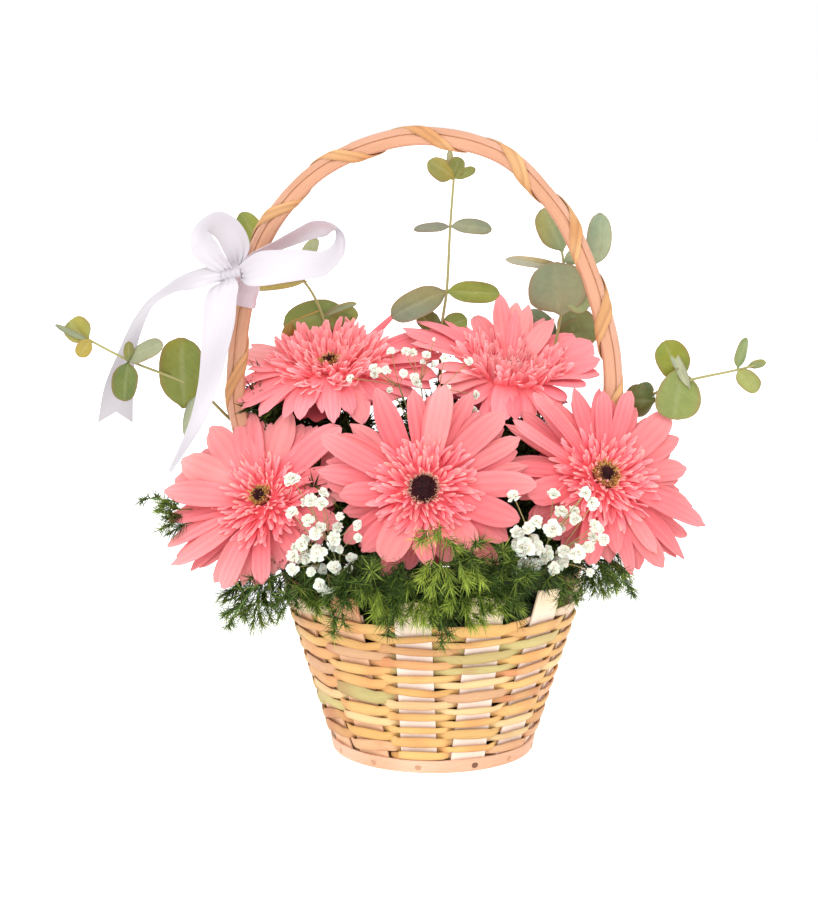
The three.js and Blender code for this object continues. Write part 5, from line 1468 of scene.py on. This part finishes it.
# brush-like tips over the rim and before the heads, by frond: (foot, tip, how light, how star-like)
TUFTS = {
    "left_1": [
        (-101, -26, 91, -114, -34, 83, 0.8, 0), (-100, -26, 88, -97, -34, 80, 0.7, 0),
        (-105, -26, 95, -110, -34, 91, 0.55, 0), (-98, -26, 98, -94, -38, 92, 0.4, 0),
        (-145, -26, 142, -156, -34, 146, 0.7, 0), (-144, -26, 139, -154, -34, 135, 0.65, 0),
        (-143, -26, 145, -153, -34, 151, 0.6, 0), (-142, -26, 141, -150, -34, 142, 0.4, 0),
        (-140, -26, 137, -149, -34, 133, 0.4, 0), (-112, -26, 99, -120, -34, 97, 0.5, 0),
        (-108, -26, 104, -114, -34, 99, 0.3, 0), (-105, -20, 106, -110, -28, 102, 0.2, 0.3),
        (-100, -20, 108, -104, -28, 105, 0.15, 0.3), (-96, -20, 111, -97, -28, 106, 0.15, 0.3),
        (-98, -24, 105, -101, -32, 100, 0.25, 0.2), (-92, -28, 109, -93, -34, 102, 0.15, 0.3),
        (-103, -26, 101, -109, -34, 95, 0.35, 0), (-107, -26, 92, -117, -34, 87, 0.75, 0),
        (-102, -26, 94, -108, -34, 86, 0.6, 0), (-97, -26, 90, -91, -44, 84, 0.6, 0),
        (-100, -26, 92, -103, -34, 79, 0.7, 0), (-106, -26, 97, -118, -34, 94, 0.6, 0),
    ],
    "left_2": [
        (-92, -33, 99, -84, -57, 98, 0.5, 0), (-82, -45, 109, -74, -62, 106, 0.35, 0),
        (-87, -38, 108, -86, -46, 102, 0.2, 0.2), (-94, -29, 102, -97, -34, 95, 0.3, 0),
        (-89, -40, 101, -87, -51, 97, 0.35, 0), (-84, -48, 106, -78, -65, 103, 0.4, 0),
        (-93, -32, 94, -86, -53, 89, 0.55, 0),
    ],
    "left_3": [
        (-77, -57, 107, -69, -73, 102, 0.6, 0), (-73, -62, 103, -63, -79, 101, 0.65, 0),
        (-64, -70, 104, -64, -78, 98, 0.6, 0), (-61, -73, 108, -57, -83, 103, 0.45, 0),
        (-69, -66, 109, -67, -75, 102, 0.55, 0),
    ],
    "front_1": [
        (-55, -77, 116, -39, -93, 117, 0.38, 0), (-49, -80, 114, -57, -83, 108, 0.4, 0),
        (-40, -79, 130, -30, -91, 127, 0.4, 0), (-45, -76, 126, -49, -82, 120, 0.3, 0),
        (-54, -77, 110, -49, -88, 106, 0.4, 0), (-45, -82, 115, -42, -92, 109, 0.4, 0),
        (-37, -86, 118, -36, -94, 110, 0.55, 0),
    ],
    "front_2": [
        (-35, -91, 127, -34, -99, 125, 0.6, 1), (-31, -88, 114, -31, -96, 107, 0.8, 0),
        (-28, -89, 109, -32, -96, 101, 0.8, 0), (-25, -90, 107, -27, -97, 99, 0.75, 0),
        (-23, -90, 110, -20, -99, 103, 0.5, 0), (-11, -92, 109, -15, -100, 101, 0.7, 0),
        (-17, -92, 130, -20, -99, 124, 0.3, 0.3), (-23, -90, 127, -20, -99, 120, 0.35, 0.2),
        (-12, -92, 124, -15, -100, 116, 0.5, 0.1), (-20, -91, 124, -21, -99, 115, 0.35, 0.1),
        (-17, -92, 117, -18, -99, 109, 0.45, 0), (-34, -87, 119, -40, -93, 113, 0.5, 0.1),
    ],
    "front_3": [
        (-8, -93, 108, -11, -100, 98, 0.85, 0), (3, -97, 150, 0, -104, 145, 0.75, 0.3),
        (-4, -97, 148, -8, -104, 143, 0.7, 0.3), (6, -97, 144, 11, -104, 139, 0.65, 0.3),
        (3, -97, 130, -2, -104, 117, 0.9, 0), (-2, -97, 132, -7, -104, 123, 0.85, 0),
        (6, -97, 129, 8, -104, 118, 0.8, 0), (11, -96, 113, 8, -104, 108, 0.75, 0),
        (-8, -93, 106, -6, -101, 97, 0.9, 0), (-4, -93, 105, -2, -101, 100, 0.8, 0),
        (5, -93, 103, 8, -101, 99, 0.15, 0), (1, -93, 114, -1, -101, 106, 0.6, 0),
        (6, -93, 111, 5, -101, 104, 0.5, 0), (-5, -93, 111, -5, -101, 104, 0.7, 0),
    ],
    "front_4": [
        (13, -97, 131, 17, -104, 121, 0.8, 0), (19, -95, 130, 24, -102, 122, 0.75, 0),
        (14, -94, 111, 17, -102, 105, 0.7, 0), (19, -91, 101, 26, -97, 97, 0.85, 0),
        (17, -92, 100, 20, -99, 96, 0.8, 0), (23, -90, 105, 31, -96, 103, 0.8, 0),
        (24, -90, 123, 31, -96, 118, 0.4, 0.2), (28, -89, 114, 30, -97, 106, 0.5, 0),
        (24, -90, 110, 26, -97, 103, 0.55, 0), (17, -92, 115, 19, -99, 107, 0.6, 0),
        (21, -91, 116, 25, -98, 110, 0.55, 0),
    ],
    "front_5": [
        (31, -88, 116, 38, -93, 108, 0.45, 0), (39, -85, 110, 46, -90, 103, 0.62, 0),
        (34, -87, 107, 37, -94, 102, 0.55, 0), (37, -82, 134, 37, -90, 134, 0.62, 1),
        (47, -78, 124, 52, -83, 121, 0.2, 0.6), (32, -88, 113, 35, -95, 106, 0.5, 0),
        (35, -87, 118, 42, -92, 112, 0.35, 0.1), (42, -84, 120, 47, -89, 114, 0.25, 0.2),
    ],
    "right_1": [
        (59, -74, 117, 61, -81, 115, 0.12, 1), (55, -76, 120, 50, -87, 117, 0.2, 0.5),
    ],
    "right_2": [
        (96, -26, 118, 105, -34, 102, 0.75, 0), (94, -28, 115, 99, -34, 100, 0.75, 0),
        (99, -26, 118, 110, -34, 109, 0.7, 0), (92, -33, 111, 84, -56, 105, 0.45, 0),
        (89, -40, 115, 78, -64, 111, 0.35, 0), (99, -18, 121, 107, -26, 116, 0.6, 0),
        (92, -35, 118, 99, -34, 107, 0.6, 0), (96, -26, 112, 103, -34, 105, 0.7, 0),
        (93, -31, 109, 96, -34, 98, 0.65, 0), (89, -40, 112, 90, -46, 102, 0.5, 0),
        (97, -26, 120, 105, -34, 111, 0.7, 0), (87, -42, 111, 81, -58, 106, 0.4, 0),
        (100, -26, 115, 109, -34, 105, 0.75, 0),
    ],
}
NEEDLE_DARK, NEEDLE_GREEN, NEEDLE_LIGHT, TWIG_DARK = "0a1102", "3f5d14", "b8cc50", "3d5a22"
fern_finish = material("fern", (0.5, 0.2), 0.12, 0.05, 0.55, Specular_IOR_Level=0.3)


class Needles:
    """Collects the needles of a frond"""

    def __init__(self, rng):
        self.rng, self.tufts = rng, []

    def tuft(self, twig, count, light, size, brush=None, girth=1.0):
        """Needles that burst from a twig, most of them towards its tip; those of a brush all point forward"""
        rng, burst = self.rng, brush is None
        s = np.clip(rng.normal(0.72, 0.28, count), 0.15, 1) if burst else rng.uniform(0, 1, count)
        steps = np.linspace(0, 1, len(twig))
        roots = np.stack([np.interp(s, steps, axis) for axis in twig.T], -1)
        forward = rng.uniform(0.2, 1.1, count) if burst else rng.uniform(0.9, 1.9, count) * brush
        aims = unit(unit(rng.normal(0, 1, (count, 3))) + unit(twig[-1] - twig[0]) * forward[:, None])
        tones = np.clip(rng.normal(light, 0.16, count) + 0.2 * (s - 0.6), 0, 1)
        sizes = rng.uniform(0.65, 1.15, count) * size
        self.tufts.append((roots, aims, tones, sizes, np.full(count, girth), np.full(count, not burst)))

    def add_to(self, skin):
        """Three-sided needles that taper to a point; those of the brushes droop a little"""
        roots, aims, tone, size, girth, bent = map(np.concatenate, zip(*self.tufts))
        tints = blend(linear(NEEDLE_DARK), linear(NEEDLE_GREEN), ramp(tone, 0, 0.5))
        tints = blend(tints, linear(NEEDLE_LIGHT), ramp(tone, 0.5, 1))
        side = unit(np.cross(aims, self.rng.normal(0, 1, (len(roots), 3))))
        ring = round_about(side[:, None], np.cross(aims, side)[:, None], np.arange(3) * TAU / 3)
        ring = ring * NEEDLE_RADIUS * girth[:, None, None]
        fall = -Z * (size * self.rng.uniform(-0.1, 0.25, len(roots)))[:, None]
        roots, way, fall = (x[:, None] for x in (roots, aims * size[:, None], fall))
        middles, ends = roots + 0.5 * way + 0.25 * fall, roots + way + fall
        # painted shade at each needle's root and painted light at its tip
        shade = tints[:, None] * np.array([0.6, 0.6, 0.6, 1.0, 1.0, 1.0, 1.35])[:, None]
        skin.add(
            np.concatenate([roots + ring, middles + 0.95 * ring, ends], 1)[bent],
            [(0, 1, 4, 3), (1, 2, 5, 4), (2, 0, 3, 5)], [(2, 1, 0), (3, 4, 6), (4, 5, 6), (5, 3, 6)],
            shade[bent], (0.0, 0.0),
        )
        skin.add(
            np.concatenate([roots + 1.25 * ring, ends], 1)[~bent],
            [], [(2, 1, 0), (0, 1, 3), (1, 2, 3), (2, 0, 3)], shade[~bent][:, [0, 1, 2, 6]], (0.0, 0.0),
        )


def add_branchlets(skin, needles, path, rng):
    """Branchlets along the frond, longest at its start"""
    along, across, up = (x[0] for x in frames_along(path[None]))
    count = 20
    s = np.linspace(0, 1, 7)[:, None]
    for i, spot in enumerate(np.linspace(22, 59, count).astype(int)):
        side = round_about(across[spot], up[spot], i * 2.4 + rng.normal(0, 0.3))
        reach = rng.uniform(9, 14) * (1 - 0.45 * i / count)
        aim = unit(side + along[spot] * rng.uniform(0.5, 1.1) + Z * 0.1)
        if i == count - 1:
            aim, reach = along[spot], 5
        twig = path[spot] + aim * s * reach - Z * 1.6 * s**2
        tubes(skin, twig, 0.28, 4, linear("5f8233"))
        light = 0.22 + 0.3 * i / count
        needles.tuft(twig[:4], 12, light - 0.12, 8)
        needles.tuft(twig[3:], 30, light, 9.5)


def add_brushes(skin, needles, start, tufts):
    """Bright brushes that hang over the rim at the front"""
    for *spots, light, star in tufts:
        foot, end = np.array(spots[:3], float), np.array(spots[3:], float)
        tubes(skin, line_to(start, foot, 9, 4), 0.3, 4, linear("55782e"))
        twig = line_to(foot, end, 9)
        tubes(skin, twig, 0.28, 4, linear("6b8f36"))
        needles.tuft(twig, 72, light, 9.5 if star else 9.0, brush=1 - star, girth=0.85)


def add_spray(skin, needles, foot, end, rng):
    """A tall dark spray between the heads, which fills the gap with painted shade"""
    n, last = 30, 29
    half_way = [foot[0] * 0.5 + end[0] * 0.5, foot[1] * 0.6 + end[1] * 0.4, 135]
    twig = spaced([foot, half_way, end], n)
    tubes(skin, twig, 0.55 - 0.3 * np.linspace(0, 1, n), 5, linear(TWIG_DARK))
    for spot in (20, 23, 26, last):
        turn = rng.uniform(0, TAU)
        reach = rng.uniform(4, 9) if spot < last else 3
        aim = unit(round_about(X, Y, turn) + Z * 0.8)
        small = line_to(twig[spot], twig[spot] + aim * reach, 5)
        tubes(skin, small, 0.3, 4, linear(TWIG_DARK))
        needles.tuft(small, 30, 0.2, 10.5, girth=3.4)


def build_fern(name, degrees, lift, route, seed):
    rng = np.random.default_rng(seed)
    a = math.radians(degrees)
    at = lambda r, z, turn=0.0: np.array([r * math.cos(a + turn), r * math.sin(a + turn), z])
    route = [at(r, z + lift) for r, z in route]
    path = spaced([*rooted(at(FERN_ENTRY, 0)[:2], route[0]), *route], 60)
    skin, needles = Skin(), Needles(rng)
    tubes(skin, path, 0.95 - 0.5 * np.linspace(0, 1, 60), 6, linear("5c7a34"))
    add_branchlets(skin, needles, path, rng)
    # dark ones fill the basket behind the rim, as painted shade
    for _ in range(16):
        end = at(rng.uniform(40, 86), rng.uniform(92, 116) + max(lift, 0), rng.uniform(-0.33, 0.33))
        twig = line_to(path[rng.integers(15, 30)], end, 8, 5)
        tubes(skin, twig, 0.3, 4, linear(TWIG_DARK))
        needles.tuft(twig[5:], 34, 0.08 + 0.1 * (end[2] > 108), 11, girth=1.6)
    add_brushes(skin, needles, path[34], TUFTS.get(name, []))
    for x, y, z in FILLS.get(name, []):
        for dx, dz in BESIDE:
            add_spray(skin, needles, path[14], np.array([x + dx, y + dx + dz / 2, z + dz]), rng)
    needles.add_to(skin)
    piece(skin, f"fern_{name}_look", fern_finish, "fern", f"fern_{name}")


# the whole arrangement, from the basket to the fern
solid_finish("base_disc", "d9b48c", 60, 0.3, 0.6)
solid_finish("liner_tub", "2b3029", 90, 0.2, 0.35)
solid_finish("floral_foam", "3a5230", 700, 0.6, 0.95, 0.4)
build_stakes()
build_weaver()
build_hoop()
build_rods()
build_splint()
build_bow()
for order, head in enumerate(HEADS):
    build_petals(head, 100 + order)
    build_eye(head, 150 + order)
    build_stem(head)
for order, sprig in enumerate(EUCALYPTUS):
    build_eucalyptus(sprig, 200 + order)
for order, spray in enumerate(GYPSOPHILA):
    build_gypsophila(spray, 300 + order)
for order, fern in enumerate(FERNS):
    build_fern(*fern, 400 + order)
